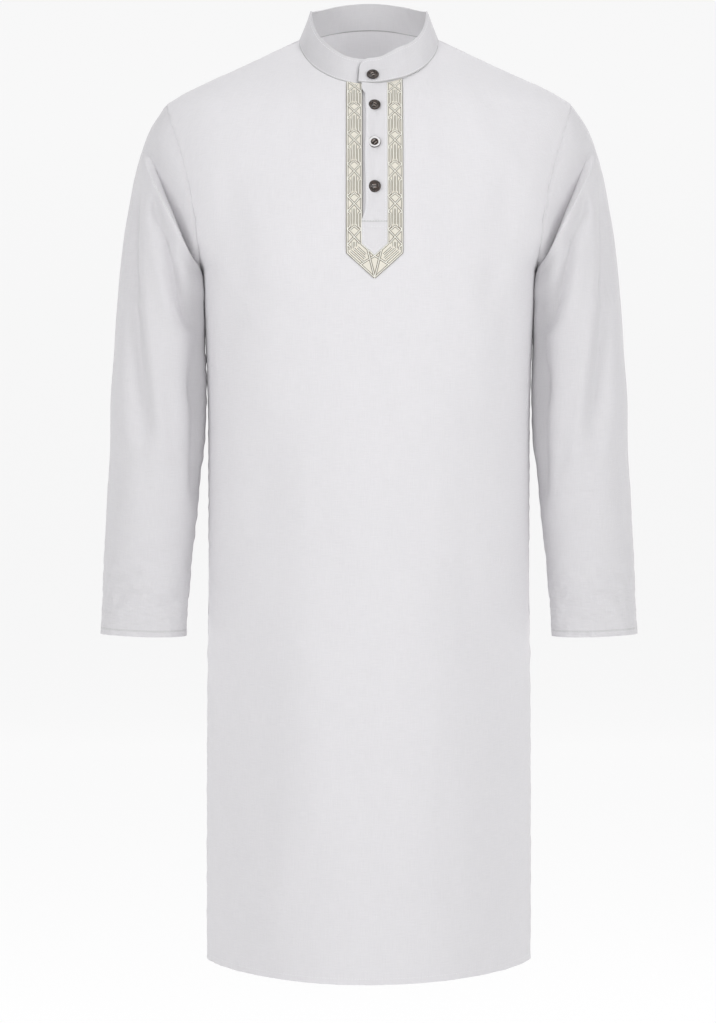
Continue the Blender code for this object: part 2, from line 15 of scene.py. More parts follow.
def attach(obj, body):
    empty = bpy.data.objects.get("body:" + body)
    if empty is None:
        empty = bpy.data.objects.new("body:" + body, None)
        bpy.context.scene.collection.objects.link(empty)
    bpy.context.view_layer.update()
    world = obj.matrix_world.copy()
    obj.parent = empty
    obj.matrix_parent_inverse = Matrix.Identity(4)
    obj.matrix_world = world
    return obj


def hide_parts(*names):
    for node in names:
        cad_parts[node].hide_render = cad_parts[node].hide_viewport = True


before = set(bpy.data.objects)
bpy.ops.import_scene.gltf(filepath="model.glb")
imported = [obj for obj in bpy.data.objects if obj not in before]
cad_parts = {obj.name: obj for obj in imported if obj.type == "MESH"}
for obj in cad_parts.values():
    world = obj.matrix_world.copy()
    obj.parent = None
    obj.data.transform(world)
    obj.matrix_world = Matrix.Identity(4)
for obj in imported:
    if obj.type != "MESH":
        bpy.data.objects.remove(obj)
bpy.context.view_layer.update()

# ---------------------------------------------------------------- sizes, in metres
CLOTH = 0.0006  # one layer of the body cloth
HEM_EXTRA = 0.0007  # what a turned hem adds behind
COLLAR_CLOTH = 0.0019
TRIM_CLOTH = 0.0006
SEAM_GAP = 0.00012  # between two edges that are sewn together
LAY_GAP = 0.0001  # between two cloths that lie on each other

NECK_HALF = 0.0802
NECK_DROP = 0.0595  # how far the neck seam dips in front
NECK_RISE = 0.0178  # how far it rises behind
NECK_BLEND = 0.1200  # how far down the back that rise fades out
NECK_SOFT, NECK_SOFT_DROP = 0.45, 0.0220  # how softly it ends beside the neck, and over what drop
TIP_X, TIP_Z = 0.2350, -0.0755  # the shoulder's end
ARMPIT_Z = -0.2680
HEM_Z = -1.0765
SLIT_TOP_Z = -0.5960
SLIT_HALF = 0.0035  # half the slit's gap at the hem
EDGE_FROM, EDGE_RUN = 0.82, 0.18  # from where, and over what share, the side's own width rules
FOLD_FADE = 0.05  # the folds fade where the body is less deep than this
SMOOTH_HALF = 0.032  # the front has no small unevenness this near to the placket's middle

RIM_HALF, RIM_FRONT, RIM_BACK = 0.0669, 0.0500, 0.0450
COLLAR_HEIGHT, COLLAR_SIDE_EXTRA = 0.0305, 0.0030
COLLAR_FOOT = 0.0005  # from the neck seam to the collar's lower edge
COLLAR_LAP = 0.0030  # how far its lapping end stands off the end beneath
LAP_FROM, LAP_RUN, LAP_EXTRA = 290, 50, 0.0040  # where it starts to, in degrees, and its overlap
LAP_RISE, LAP_RISE_X, LAP_RISE_WIDE = 0.0044, 0.034, 0.017  # the taller stretch beside it
TAB_ROUND, TAB_DROP = 0.0135, 0.0170  # the round corner's width and height

PLACKET_X = 0.0058  # the placket's middle line
BAND_HALF = 0.01425
TRIM_HALF = 0.0312  # from the placket's middle to the trim's outer edge
CUT_FOOT_Z = -0.2180
BOX_STITCH_Z = -0.2174
BAND_CORNER_Z, BAND_POINT_Z = -0.2425, -0.2550
TRIM_CORNER_Z, TRIM_POINT_Z = -0.2530, -0.2812
BAND_LIFT = 0.0030  # how far the band's free edge stands off
EDGE_IN = 0.0037  # how far that edge is drawn in sideways

BUTTON_RADIUS, BUTTON_THICK = 0.0070, 0.0023
BUTTON_Z = (-0.0863, -0.1292, -0.1791)
TAB_BUTTON_X, TAB_BUTTON_Z = 0.0042, -0.0501

HEM_DEPTH = 0.0068  # from the hem's edge to its line of stitches
SLIT_HEM_DEPTH = 0.0080
CUFF_DEPTH = 0.0070
HEM_STEP = 0.0015  # over which a turned hem's thickness ends
STITCH, STITCH_PITCH = 0.0023, 0.0031  # a stitch's length, and from one to the next
STITCH_HALF, STITCH_HIGH = 0.00022, 0.00034  # half its width, and its height

# ---------------------------------------------------------------- pitch of the meshes
ROWS_ABOVE, ROWS_BELOW = 64, 176
SIDE_COLUMNS = 34
AROUND_SLEEVE = 2 * ROWS_ABOVE
RINGS_TO_FOLD, RINGS_BELOW_FOLD = 26, 170
COLLAR_ROWS, COLLAR_COLUMNS = 33, 230
TAB_COLUMNS, TAB_FROM_TO = 60, (-0.20, 0.06)  # the closer columns beneath the lapping end


class Table:
    """Rows of named columns, read smoothly between its rows. The first column is the key."""

    def __init__(self, names, *rows):
        ordered = np.array(sorted(rows), float)
        self.key = ordered[:, 0]
        self.column = dict(zip(names.split(), ordered.T))

    def __call__(self, name, at):
        x, y = self.key, self.column[name]
        run = np.diff(x)
        rise = np.diff(y) / run
        before, after = rise[:-1], rise[1:]
        turns = before * after <= 0
        total = np.where(turns, 1, before + after)
        middle = np.where(turns, 0, 2 * before * after / total)
        slope = np.concatenate([rise[:1], middle, rise[-1:]])
        at = np.clip(at, x[0], x[-1])
        i = np.clip(np.searchsorted(x, at) - 1, 0, len(run) - 1)
        t = (at - x[i]) / run[i]
        return (
            y[i] * (1 + 2 * t) * (1 - t) ** 2
            + slope[i] * run[i] * t * (1 - t) ** 2
            + y[i + 1] * t * t * (3 - 2 * t)
            + slope[i + 1] * run[i] * t * t * (t - 1)
        )


BODY = Table(
    "z half_width chest_width front back corner side",
    (0.0000, 0.0802, 0.0802, 0.0000, 0.0555, 2.3, 0.50),
    (-0.0290, 0.1418, 0.1418, 0.0400, 0.0800, 2.3, 0.50),
    (-0.0580, 0.2052, 0.2052, 0.0715, 0.0970, 2.3, 0.50),
    (-0.0643, 0.2172, 0.2172, 0.0770, 0.1000, 2.3, 0.50),
    (-0.0712, 0.2285, 0.2275, 0.0827, 0.1030, 2.3, 0.50),
    (-0.0755, 0.2350, 0.2320, 0.0860, 0.1048, 2.3, 0.50),
    (-0.1020, 0.2450, 0.2390, 0.1026, 0.1140, 2.3, 0.50),
    (-0.1320, 0.2480, 0.2390, 0.1160, 0.1210, 2.3, 0.50),
    (-0.1720, 0.2420, 0.2330, 0.1276, 0.1260, 2.3, 0.50),
    (-0.2020, 0.2310, 0.2260, 0.1325, 0.1272, 2.3, 0.50),
    (-0.2320, 0.2150, 0.2180, 0.1352, 0.1274, 2.3, 0.50),
    (-0.2520, 0.2025, 0.2125, 0.1363, 0.1270, 2.3, 0.50),
    (-0.2680, 0.1948, 0.2085, 0.1370, 0.1265, 2.3, 0.50),
    (-0.2800, 0.1938, 0.2055, 0.1374, 0.1261, 2.3, 0.50),
    (-0.3020, 0.1925, 0.2010, 0.1380, 0.1255, 2.3, 0.50),
    (-0.3520, 0.1900, 0.1950, 0.1386, 0.1242, 2.3, 0.50),
    (-0.4000, 0.1881, 0.1915, 0.1390, 0.1233, 2.3, 0.50),
    (-0.4500, 0.1872, 0.1885, 0.1393, 0.1225, 2.25, 0.52),
    (-0.5900, 0.1872, 0.1872, 0.1402, 0.1210, 2.2, 0.55),
    (-0.8060, 0.1897, 0.1897, 0.1420, 0.1200, 2.1, 0.62),
    (-1.0765, 0.1912, 0.1912, 0.1440, 0.1200, 2.0, 0.72),
)
SHOULDER = Table(
    "x z",
    (0.0802, 0.0000),
    (0.1418, -0.0290),
    (0.2052, -0.0580),
    (0.2172, -0.0643),
    (0.2285, -0.0712),
    (0.2350, -0.0755),
)
ARMHOLE = Table(
    "z x",
    (-0.0755, 0.2350),
    (-0.1000, 0.2270),
    (-0.1300, 0.2168),
    (-0.1620, 0.2076),
    (-0.1895, 0.2020),
    (-0.2344, 0.1958),
    (-0.2580, 0.1948),
    (-0.2680, 0.1940),
)
SLEEVE = Table(
    "down outer_x outer_z inner_x inner_z half_depth middle_y press hug",
    (0.0000, 0.2350, -0.0755, 0.1945, -0.2680, 0.0700, 0.0000, 0.0000, 0.0000),
    (0.0200, 0.2535, -0.1036, 0.1961, -0.2750, 0.0715, 0.0000, 0.0030, 0.0004),
    (0.0360, 0.2630, -0.1268, 0.1960, -0.2830, 0.0710, -0.0005, 0.0062, 0.0004),
    (0.0610, 0.2737, -0.1650, 0.1957, -0.2930, 0.0690, -0.0015, 0.0078, 0.0004),
    (0.0850, 0.2803, -0.2000, 0.1951, -0.3060, 0.0670, -0.0025, 0.0089, 0.0005),
    (0.1100, 0.2853, -0.2335, 0.1943, -0.3230, 0.0650, -0.0035, 0.0091, 0.0006),
    (0.1430, 0.2902, -0.2740, 0.1933, -0.3470, 0.0630, -0.0050, 0.0066, 0.0008),
    (0.1800, 0.2934, -0.3180, 0.1926, -0.3770, 0.0605, -0.0070, 0.0030, 0.0020),
    (0.2180, 0.2963, -0.3580, 0.1922, -0.4120, 0.0575, -0.0090, 0.0000, 0.0024),
    (0.2620, 0.2993, -0.4061, 0.1928, -0.4527, 0.0540, -0.0110, 0.0000, 0.0010),
    (0.3140, 0.3012, -0.4620, 0.1963, -0.4995, 0.0495, -0.0130, 0.0000, 0.0000),
    (0.3680, 0.3040, -0.5233, 0.2013, -0.5463, 0.0450, -0.0145, 0.0000, 0.0000),
    (0.4325, 0.3076, -0.5937, 0.2078, -0.6050, 0.0380, -0.0155, 0.0000, 0.0000),
    (0.5250, 0.3128, -0.6900, 0.2146, -0.6930, 0.0330, -0.0160, 0.0000, 0.0000),
)
# The crisp edge of the fold that hangs from the shoulder's end to the armpit: how far down the
# sleeve it lies, how far it stands out and how deep the cloth is tucked behind it.
DRAG = Table(
    "angle down out tuck",
    (0, 0.0400, 0.0000, 0.0000),
    (18, 0.0375, 0.0008, 0.0030),
    (32, 0.0360, 0.0022, 0.0130),
    (48, 0.0350, 0.0034, 0.0205),
    (66, 0.0342, 0.0042, 0.0240),
    (80, 0.0330, 0.0046, 0.0250),
    (95, 0.0308, 0.0046, 0.0250),
    (110, 0.0290, 0.0044, 0.0235),
    (124, 0.0270, 0.0036, 0.0200),
    (138, 0.0250, 0.0022, 0.0130),
    (158, 0.0210, 0.0008, 0.0040),
    (180, 0.0170, 0.0000, 0.0000),
)
DRAG_ACROSS = 0.3  # the share of the fold's depth that also runs sideways
CUFF_DOWN = 0.5250
# Where round the sleeve its two dents beside the body are deepest, how wide they are, in degrees,
# and the share of their depth that they have behind.
PRESS_ANGLE, HUG_ANGLE, HUG_SPREAD, BACK_HUG = 151, 169, 15, 0.65
CAP_BLEND = 0.045  # how far down the sleeve takes its own round shape
SLEEVE_RADIUS = 0.065  # turns the folds' angles into lengths round the sleeve

# Soft ridges (raised) and troughs (sunk), each from one place to another. On a panel a place is
# x and z. On a sleeve it is the distance down and the angle from the line over the arm, with
# the front at 90 degrees and the back at 270. The first rows of each list are the solids' own.
FRONT_FOLDS = (
    # x_from, z_from, x_to, z_to, width, raised
    (-0.1300, -0.6600, -0.1180, -0.9300, 0.030, -0.0045),
    (0.1360, -0.6300, 0.1240, -0.8300, 0.026, -0.0035),
    (-0.0650, -0.6200, -0.0600, -0.9000, 0.032, 0.0030),
    (0.0500, -0.5600, 0.0650, -0.9200, 0.040, 0.0030),
    (-0.1650, -0.1650, -0.1350, -0.2900, 0.018, -0.0030),
    (0.1650, -0.1650, 0.1350, -0.2900, 0.018, -0.0030),
)
FRONT_CREASES = (
    (-0.0900, -0.0450, -0.1500, -0.1500, 0.0200, 0.0016),
    (0.0950, -0.0500, 0.1560, -0.1450, 0.0180, 0.0016),
    (-0.3000, -0.2450, -0.0200, -0.2450, 0.0480, 0.0032),
    (0.3000, -0.2400, 0.0200, -0.2400, 0.0480, 0.0038),
    (-0.1570, -0.2900, -0.1660, -0.5100, 0.0150, -0.0030),
    (0.1580, -0.3200, 0.1610, -0.5100, 0.0140, -0.0030),
    (-0.0030, -0.4200, 0.0020, -0.7000, 0.0360, 0.0045),
    (-0.1120, -0.4300, -0.1080, -0.6600, 0.0280, -0.0030),
    (0.1120, -0.4500, 0.1060, -0.6800, 0.0280, -0.0032),
    (-0.1650, -0.6900, -0.1620, -0.8700, 0.0150, -0.0032),
    (0.1610, -0.7000, 0.1620, -0.8400, 0.0130, -0.0034),
    (-0.1880, -0.2250, -0.1180, -0.3150, 0.0110, -0.0016),
    (0.1880, -0.2300, 0.1240, -0.3050, 0.0110, -0.0017),
    (-0.1820, -0.2520, -0.1320, -0.3700, 0.0100, -0.0012),
    (0.1830, -0.2550, 0.1400, -0.3850, 0.0100, -0.0012),
    (-0.0550, -0.2900, -0.0200, -0.4600, 0.0240, 0.0013),
    (0.0720, -0.2800, 0.0350, -0.4700, 0.0260, 0.0014),
    (-0.1450, -0.3800, -0.1180, -0.5900, 0.0170, -0.0012),
    (0.1500, -0.4000, 0.1290, -0.5700, 0.0160, -0.0013),
    (-0.0950, -0.7300, -0.1020, -1.0200, 0.0170, 0.0012),
    (0.0980, -0.7100, 0.0880, -0.9900, 0.0180, -0.0012),
    (-0.0150, -0.7900, -0.0080, -1.0500, 0.0200, -0.0010),
    (0.0250, -0.6600, 0.0150, -0.8500, 0.0220, 0.0009),
    (-0.1500, -0.8700, -0.1580, -1.0600, 0.0150, 0.0015),
    (0.1550, -0.8600, 0.1600, -1.0600, 0.0150, 0.0014),
)
BACK_FOLDS = (
    (-0.1120, -0.5200, -0.1240, -0.9000, 0.030, -0.0050),
    (0.0950, -0.5700, 0.1150, -0.9500, 0.032, -0.0045),
    (-0.0350, -0.4200, -0.0450, -0.8200, 0.034, 0.0035),
    (0.0400, -0.6200, 0.0300, -0.9600, 0.034, -0.0030),
    (-0.1600, -0.1700, -0.1200, -0.3100, 0.018, -0.0035),
    (0.1600, -0.1700, 0.1200, -0.3100, 0.018, -0.0035),
)
BACK_CREASES = (
    (-0.0600, -0.0500, -0.1300, -0.1350, 0.0200, 0.0014),
    (0.0650, -0.0520, 0.1350, -0.1400, 0.0190, 0.0015),
    (-0.1850, -0.2200, -0.1020, -0.3100, 0.0110, -0.0018),
    (0.1860, -0.2240, 0.1050, -0.3150, 0.0110, -0.0018),
    (-0.1800, -0.2500, -0.1200, -0.3800, 0.0110, -0.0014),
    (0.1820, -0.2480, 0.1300, -0.3600, 0.0100, -0.0013),
    (-0.0200, -0.1700, -0.0350, -0.4100, 0.0280, 0.0014),
    (0.0500, -0.3300, 0.0650, -0.5700, 0.0220, -0.0013),
    (-0.0750, -0.4700, -0.0850, -0.7400, 0.0180, 0.0015),
    (0.1420, -0.5200, 0.1500, -0.8300, 0.0170, 0.0015),
    (-0.1500, -0.6600, -0.1580, -0.9600, 0.0170, 0.0014),
    (0.0050, -0.7400, 0.0000, -1.0500, 0.0200, 0.0013),
    (-0.0850, -0.8600, -0.0900, -1.0600, 0.0170, -0.0013),
    (0.0750, -0.8700, 0.0800, -1.0600, 0.0160, 0.0012),
)
SLEEVE_FOLDS = (
    # down_from, angle_from, down_to, angle_to, width, raised
    (0.0540, 64, 0.0580, 106, 0.0140, -0.0080),
    (0.0580, 104, 0.1400, 134, 0.0140, -0.0085),
    (0.0850, 84, 0.1500, 110, 0.0160, 0.0045),
    (0.0650, 26, 0.1500, 56, 0.0170, -0.0120),
    (0.1450, 54, 0.3000, 82, 0.0170, -0.0110),
    (0.1000, 60, 0.2900, 96, 0.0160, 0.0040),
    (0.0850, 146, 0.2300, 147, 0.0150, -0.0085),
    (0.2000, 147, 0.3500, 158, 0.0150, -0.0085),
    (0.4550, 38, 0.4520, 84, 0.0060, -0.0026),
    (0.4660, 70, 0.4710, 128, 0.0065, 0.0022),
    (0.4770, 44, 0.4740, 98, 0.0055, -0.0024),
    (0.4850, 86, 0.4890, 138, 0.0060, -0.0023),
    (0.4960, 40, 0.4940, 76, 0.0055, 0.0019),
    (0.5020, 66, 0.5050, 120, 0.0055, -0.0020),
    (0.4620, 232, 0.4580, 286, 0.0060, -0.0024),
    (0.4800, 250, 0.4840, 316, 0.0060, 0.0020),
    (0.4980, 224, 0.4950, 280, 0.0055, -0.0020),
    (0.0160, 298, 0.0060, 212, 0.0095, -0.0055),
    (0.0430, 296, 0.0240, 222, 0.0110, 0.0030),
    (0.0620, 272, 0.0760, 232, 0.0120, -0.0035),
    (0.1450, 250, 0.3000, 262, 0.0160, -0.0030),
)
SLEEVE_CREASES = (
    (0.2700, 60, 0.3700, 92, 0.0100, -0.0014),
    (0.2350, 100, 0.3300, 128, 0.0090, -0.0015),
    (0.3050, 118, 0.3250, 60, 0.0070, 0.0010),
    (0.3450, 132, 0.3600, 82, 0.0060, -0.0009),
    (0.4080, 126, 0.4180, 62, 0.0060, 0.0009),
    (0.4330, 58, 0.4400, 110, 0.0050, -0.0008),
    (0.4560, 122, 0.4620, 70, 0.0045, 0.0008),
    (0.4740, 50, 0.4700, 104, 0.0045, -0.0007),
    (0.4900, 128, 0.4930, 84, 0.0042, 0.0006),
    (0.1900, 30, 0.3300, 36, 0.0160, 0.0013),
    (0.3300, 20, 0.4700, 30, 0.0150, -0.0012),
    (0.2600, 228, 0.2900, 290, 0.0085, -0.0016),
    (0.3000, 236, 0.3150, 300, 0.0080, 0.0014),
    (0.3450, 226, 0.3500, 282, 0.0070, -0.0013),
    (0.4050, 300, 0.4150, 236, 0.0060, 0.0009),
    (0.4500, 232, 0.4600, 290, 0.0050, -0.0008),
    (0.4820, 296, 0.4800, 240, 0.0045, 0.0007),
)

# ---------------------------------------------------------------- the form, as in the solids


def ease(share):
    """Runs smoothly from 0 to 1."""
    share = np.clip(share, 0, 1)
    return share * share * (3 - 2 * share)


def raised(u, v, folds, bend=0.0):
    """How far the cloth stands out at a place, from all the folds together.

    bend, in metres, lets the folds wander and swell, each in its own way.
    """
    total = np.zeros(np.broadcast(u, v).shape)
    for n, (u_from, v_from, u_to, v_to, width, height) in enumerate(folds):
        run_u, run_v = u_to - u_from, v_to - v_from
        length = math.hypot(run_u, run_v)
        along = ((u - u_from) * run_u + (v - v_from) * run_v) / length**2
        across = ((u - u_from) * run_v - (v - v_from) * run_u) / length
        across = across + bend * np.sin(4.1 * along + 2.3 * n)
        swell = 1 + 0.25 * np.sin(7.3 * along + 1.7 * n) * (bend > 0)
        total = total + height * swell * np.exp(-((2 * along - 1) ** 6) - (across / width) ** 2)
    return total


def waves(u, v, size, seed, count=16):
    """Uneven soft waves of about this size, between about -1 and 1, as crossed sines."""
    draw = np.random.default_rng(seed)
    total = 0
    for _ in range(count):
        turn, phase = draw.uniform(0, 2 * math.pi, 2)
        pitch = size * draw.uniform(0.65, 1.7)
        far = u * math.cos(turn) + v * math.sin(turn)
        total = total + np.sin(2 * math.pi * far / pitch + phase)
    return total / math.sqrt(count)


def back_lift(x, z):
    """How far the back is lifted so that its top follows the neck seam."""
    level = 1 - (x / NECK_HALF) ** 2
    soft = NECK_SOFT * ease(-z / NECK_SOFT_DROP)
    return NECK_RISE * (level + np.hypot(level, soft)) / 2 * ease(1 + z / NECK_BLEND)


def body_depth(side, x, z):
    """The y of the front (side -1) or the back (side 1) of the body, without folds."""
    if side > 0:
        z = z - back_lift(x, z)
    deep = BODY("front" if side < 0 else "back", z)
    edge = BODY("half_width", z)
    near_edge = ease((np.abs(x) / edge - EDGE_FROM) / EDGE_RUN)
    width = edge * near_edge + BODY("chest_width", z) * (1 - near_edge)
    share = np.clip(np.abs(x) / width, 0, 1)
    return side * deep * (1 - share ** BODY("corner", z)) ** BODY("side", z)


def body_point(side, x, z):
    """A point of the body with the solids' folds and the cloth's own creases."""
    folds = FRONT_FOLDS if side < 0 else BACK_FOLDS
    lines = FRONT_CREASES if side < 0 else BACK_CREASES
    y = body_depth(side, x, z)
    fade = np.clip(np.abs(y) / FOLD_FADE, 0, 1)
    out = raised(x, z, folds) + raised(x, z, lines, bend=0.004)
    from_trim = np.hypot(x - PLACKET_X, np.maximum(TRIM_POINT_Z - z, 0)) - SMOOTH_HALF
    under_trim = ease(from_trim / 0.020)
    soft = 0.0010 * waves(x, 0.45 * z, 0.10, 3 + side)
    soft = soft + 0.00022 * waves(x, z * 0.7, 0.032, 8 + side)
    out = out + soft * (under_trim if side < 0 else 1)
    return np.stack(np.broadcast_arrays(x, y + side * fade * out, z), axis=-1)


def slit_half(z):
    """Half the gap of the side slit."""
    return SLIT_HALF * np.clip((SLIT_TOP_Z - z) / (SLIT_TOP_Z - HEM_Z), 0, 1)


def panel_edge(side, z):
    """The x of a panel's outer edge: the armhole, then the side seam, then the slit."""
    deep = BODY("front" if side < 0 else "back", z)
    open_share = (slit_half(z) / deep) ** (1 / BODY("side", z))
    seam = BODY("half_width", z) * (1 - open_share) ** (1 / BODY("corner", z))
    return np.where(z >= ARMPIT_Z, ARMHOLE("x", z), seam)


def neck_z(side, x):
    """The height of the neck seam over a point between the shoulder seams."""
    level = np.clip(1 - (x / NECK_HALF) ** 2, 0, 1)
    return -NECK_DROP * np.sqrt(level) if side < 0 else NECK_RISE * level


def panel_grid(side, columns):
    """A panel's surface, from the neck to the hem and from the right edge to the left."""
    turn = np.linspace(0, math.pi / 2, SIDE_COLUMNS + 1)[1:]
    turn = np.concatenate([turn[:-1], math.pi / 2 - np.array([0.024, 0.012, 0.005, 0])])
    share = np.sin(turn)
    drop = (1 - np.cos(np.linspace(0, math.pi, ROWS_ABOVE + 1))) / 2
    below = np.linspace(ARMPIT_Z, HEM_Z, ROWS_BELOW + 1)[1:]
    edge_z = np.concatenate([TIP_Z + (ARMPIT_Z - TIP_Z) * drop, below])
    edge_x = panel_edge(side, edge_z)

    def column(top_z, x):
        z = np.concatenate([top_z + (ARMPIT_Z - top_z) * drop, below])
        return body_point(side, x, z)

    def fan(part, way):
        top_z = SHOULDER("z", NECK_HALF + part * (TIP_X - NECK_HALF))
        return column(top_z, way * (NECK_HALF + part * (edge_x - NECK_HALF)))

    middle = [column(neck_z(side, x), np.full(edge_z.shape, x)) for x in columns]
    right = [fan(part, -1) for part in share[::-1]]
    left = [fan(part, 1) for part in share]
    grid = np.stack(right + middle + left, axis=1)
    fans = len(share)
    grid[0, : fans + 1, 1] = grid[0, -fans - 1 :, 1] = side * SEAM_GAP / 2
    for end in (0, -1):
        grid[ROWS_ABOVE:, end, 1] = side * np.maximum(SEAM_GAP / 2, slit_half(edge_z[ROWS_ABOVE:]))
    return grid, fans


def drag_fold(down, angle):
    """The step of the fold from the shoulder to the armpit, sharper in front than behind."""
    turned = np.degrees(angle)
    share = np.where(turned <= 180, 1.0, 0.45)
    turned = np.minimum(turned, 360 - turned)
    edge, out, tuck = (DRAG(name, turned) for name in ("down", "out", "tuck"))
    past = down - edge
    below = out * np.exp(-(((past - 0.003) / 0.013) ** 2))
    up = np.clip((0.003 - past) / edge, 0, 1)
    tucked = ease((0.0032 - past) / 0.0058) * (1 - up) ** 1.3
    return share * (below * ease(down / 0.006) - (tuck + out) * tucked * ease(down / 0.002))


def sleeve_ring(down, angle):
    """One ring of the left sleeve. The angle starts over the arm and runs to the front."""
    outer = np.array([SLEEVE("outer_x", down), SLEEVE("outer_z", down)])
    inner = np.array([SLEEVE("inner_x", down), SLEEVE("inner_z", down)])
    middle, reach = (outer + inner) / 2, (outer - inner) / 2
    along = angle * SLEEVE_RADIUS
    turn = math.radians(SLEEVE_RADIUS)

    def in_metres(folds):
        return [(a, b * turn, c, d * turn, width, height) for a, b, c, d, width, height in folds]

    drag = drag_fold(down, angle)
    out = raised(down, along, in_metres(SLEEVE_FOLDS))
    out = out + raised(down, along, in_metres(SLEEVE_CREASES), bend=0.003)
    out = out + 0.0005 * waves(down, along, 0.08, 21) * ease(down / 0.05)
    out = out + 0.00025 * waves(down, 0.45 * along, 0.020, 22) * ease((down - 0.25) / 0.2)
    out = out + 0.00040 * waves(down, 0.8 * along, 0.013, 23) * ease((down - 0.43) / 0.04)
    deep = SLEEVE("half_depth", down) + out + drag
    x = middle[0] + (reach[0] + out + DRAG_ACROSS * drag) * np.cos(angle)
    for name, way in (("press", PRESS_ANGLE), ("hug", HUG_ANGLE)):
        for share, at in ((1, way), (BACK_HUG, 360 - way)):
            near = np.exp(-(((np.degrees(angle) - at) / HUG_SPREAD) ** 2))
            x = x - SLEEVE(name, down) * share * near
    y = SLEEVE("middle_y", down) - deep * np.sin(angle)
    z = middle[1] + reach[1] * np.cos(angle)
    return np.stack([x, y, z], axis=-1)


def sleeve_grid(front, back):
    """The left sleeve, open along its seam under the arm, from the armhole to the cuff."""
    down_front = front[: ROWS_ABOVE + 1, -1]
    up_back = back[ROWS_ABOVE - 1 : 0 : -1, -1]
    armhole = np.concatenate([down_front, up_back])
    armhole[0, 1] = armhole[ROWS_ABOVE, 1] = 0
    armhole[:, 0] += SEAM_GAP
    angle = np.arange(AROUND_SLEEVE) * 2 * math.pi / AROUND_SLEEVE
    step = armhole - sleeve_ring(0, angle)
    turned = np.degrees(np.minimum(angle, 2 * math.pi - angle))
    fold_down = DRAG("down", turned)
    above = 1 - (1 - np.linspace(0, 1, RINGS_TO_FOLD + 1)) ** 1.7
    below = np.linspace(0, 1, RINGS_BELOW_FOLD + 1)[1:] ** 1.35
    rings = []
    for to_fold, to_cuff in [(n, 0) for n in above] + [(1, n) for n in below]:
        down = fold_down * to_fold + (CUFF_DOWN - fold_down) * to_cuff
        left_over = np.maximum(0.0, 1 - down / CAP_BLEND)[:, None] ** 2
        ring = sleeve_ring(down, angle) + step * left_over
        ring = np.roll(ring, -ROWS_ABOVE, axis=0)
        rings.append(np.concatenate([ring, ring[:1]]))
    grid = np.array(rings)
    grid[:, 0, 1] += SEAM_GAP / 2
    grid[:, -1, 1] -= SEAM_GAP / 2
    return grid


def neck_corners(front, back, fans):
    """The points of the panels on the neck seam, each with its angle from the front middle."""
    on_neck = slice(fans, -fans)
    ahead, behind = front[0, on_neck], back[0, on_neck][1:-1]
    turn = np.concatenate(
        [
            np.arcsin(np.clip(-ahead[:, 0] / NECK_HALF, -1, 1)),
            math.pi + np.arcsin(behind[:, 0] / NECK_HALF),
        ]
    )
    return turn, np.concatenate([ahead, behind])


def collar_line(turn, corners):
    """The neck seam and the collar's rounder rim."""
    across, ahead = np.sin(turn), np.cos(turn)
    at, point = corners
    seam = np.stack([np.interp(turn, at, point[:, k], period=2 * math.pi) for k in range(3)], -1)
    rim_y = -ahead * np.where(ahead > 0, RIM_FRONT, RIM_BACK)
    neck = np.where(ahead > 0, -NECK_DROP * ahead, NECK_RISE * ahead**2)
    rim_z = neck + COLLAR_HEIGHT + COLLAR_SIDE_EXTRA * across**2
    beside_tab = np.exp(-(((-RIM_HALF * across - LAP_RISE_X) / LAP_RISE_WIDE) ** 2))
    rim_z = rim_z + LAP_RISE * beside_tab * (ahead > 0)
    return seam, np.stack([-RIM_HALF * across, rim_y, rim_z], axis=-1)


def collar_grid(corners):
    """The collar, from its end underneath round to its lapping end with the round corner.

    The second value is how far round each column lies past the lapping end's edge.
    """
    under_end = -math.asin((PLACKET_X + BAND_HALF) / NECK_HALF)
    lap_end = 2 * math.pi + math.asin((BAND_HALF - PLACKET_X + LAP_EXTRA) / NECK_HALF)
    round_turn = TAB_ROUND / NECK_HALF
    plain = np.linspace(under_end, lap_end - round_turn, COLLAR_COLUMNS)
    below_tab = lap_end - 2 * math.pi + np.linspace(*TAB_FROM_TO, TAB_COLUMNS)
    away = np.abs(plain - below_tab.mean()) > 0.132
    plain = np.unique(np.concatenate([plain[away], below_tab]))
    corner = lap_end - round_turn * (1 - np.sin(np.linspace(0, math.pi / 2, 17)[1:]))
    turn = np.concatenate([plain, corner])
    seam, rim = collar_line(turn, corners)
    from_end = np.clip((lap_end - turn) / round_turn, 0, 1)
    drop = TAB_DROP * (1 - np.sqrt(1 - (1 - from_end) ** 2))
    rise = np.linalg.norm(rim - seam, axis=-1)
    foot = COLLAR_FOOT / rise
    share = foot[:, None] + (1 - drop / rise - foot)[:, None] * np.linspace(0, 1, COLLAR_ROWS)
    grid = seam[:, None] + (rim - seam)[:, None] * share[..., None]
    lap = COLLAR_LAP * ease((np.degrees(turn) - LAP_FROM) / LAP_RUN)
    length = turn * NECK_HALF
    uneven = 0.00035 * waves(length[:, None], share * 0.03, 0.03, 31)
    grid = grid - grid_normals(grid) * (lap[:, None] + uneven)[..., None]
    return grid, (turn - lap_end + 2 * math.pi) * NECK_HALF


# ---------------------------------------------------------------- cloth meshes


def grid_normals(points):
    """The direction square to the cloth at each point of a grid."""
    normal = np.cross(np.gradient(points, axis=0), np.gradient(points, axis=1))
    return normal / np.maximum(np.linalg.norm(normal, axis=-1, keepdims=True), 1e-12)


def run_lengths(points, axis):
    """How far each point of a grid is along its row or column, in metres."""
    steps = np.linalg.norm(np.diff(points, axis=axis), axis=-1)
    start = np.zeros_like(steps.take([0], axis=axis))
    return np.concatenate([start, np.cumsum(steps, axis=axis)], axis=axis)


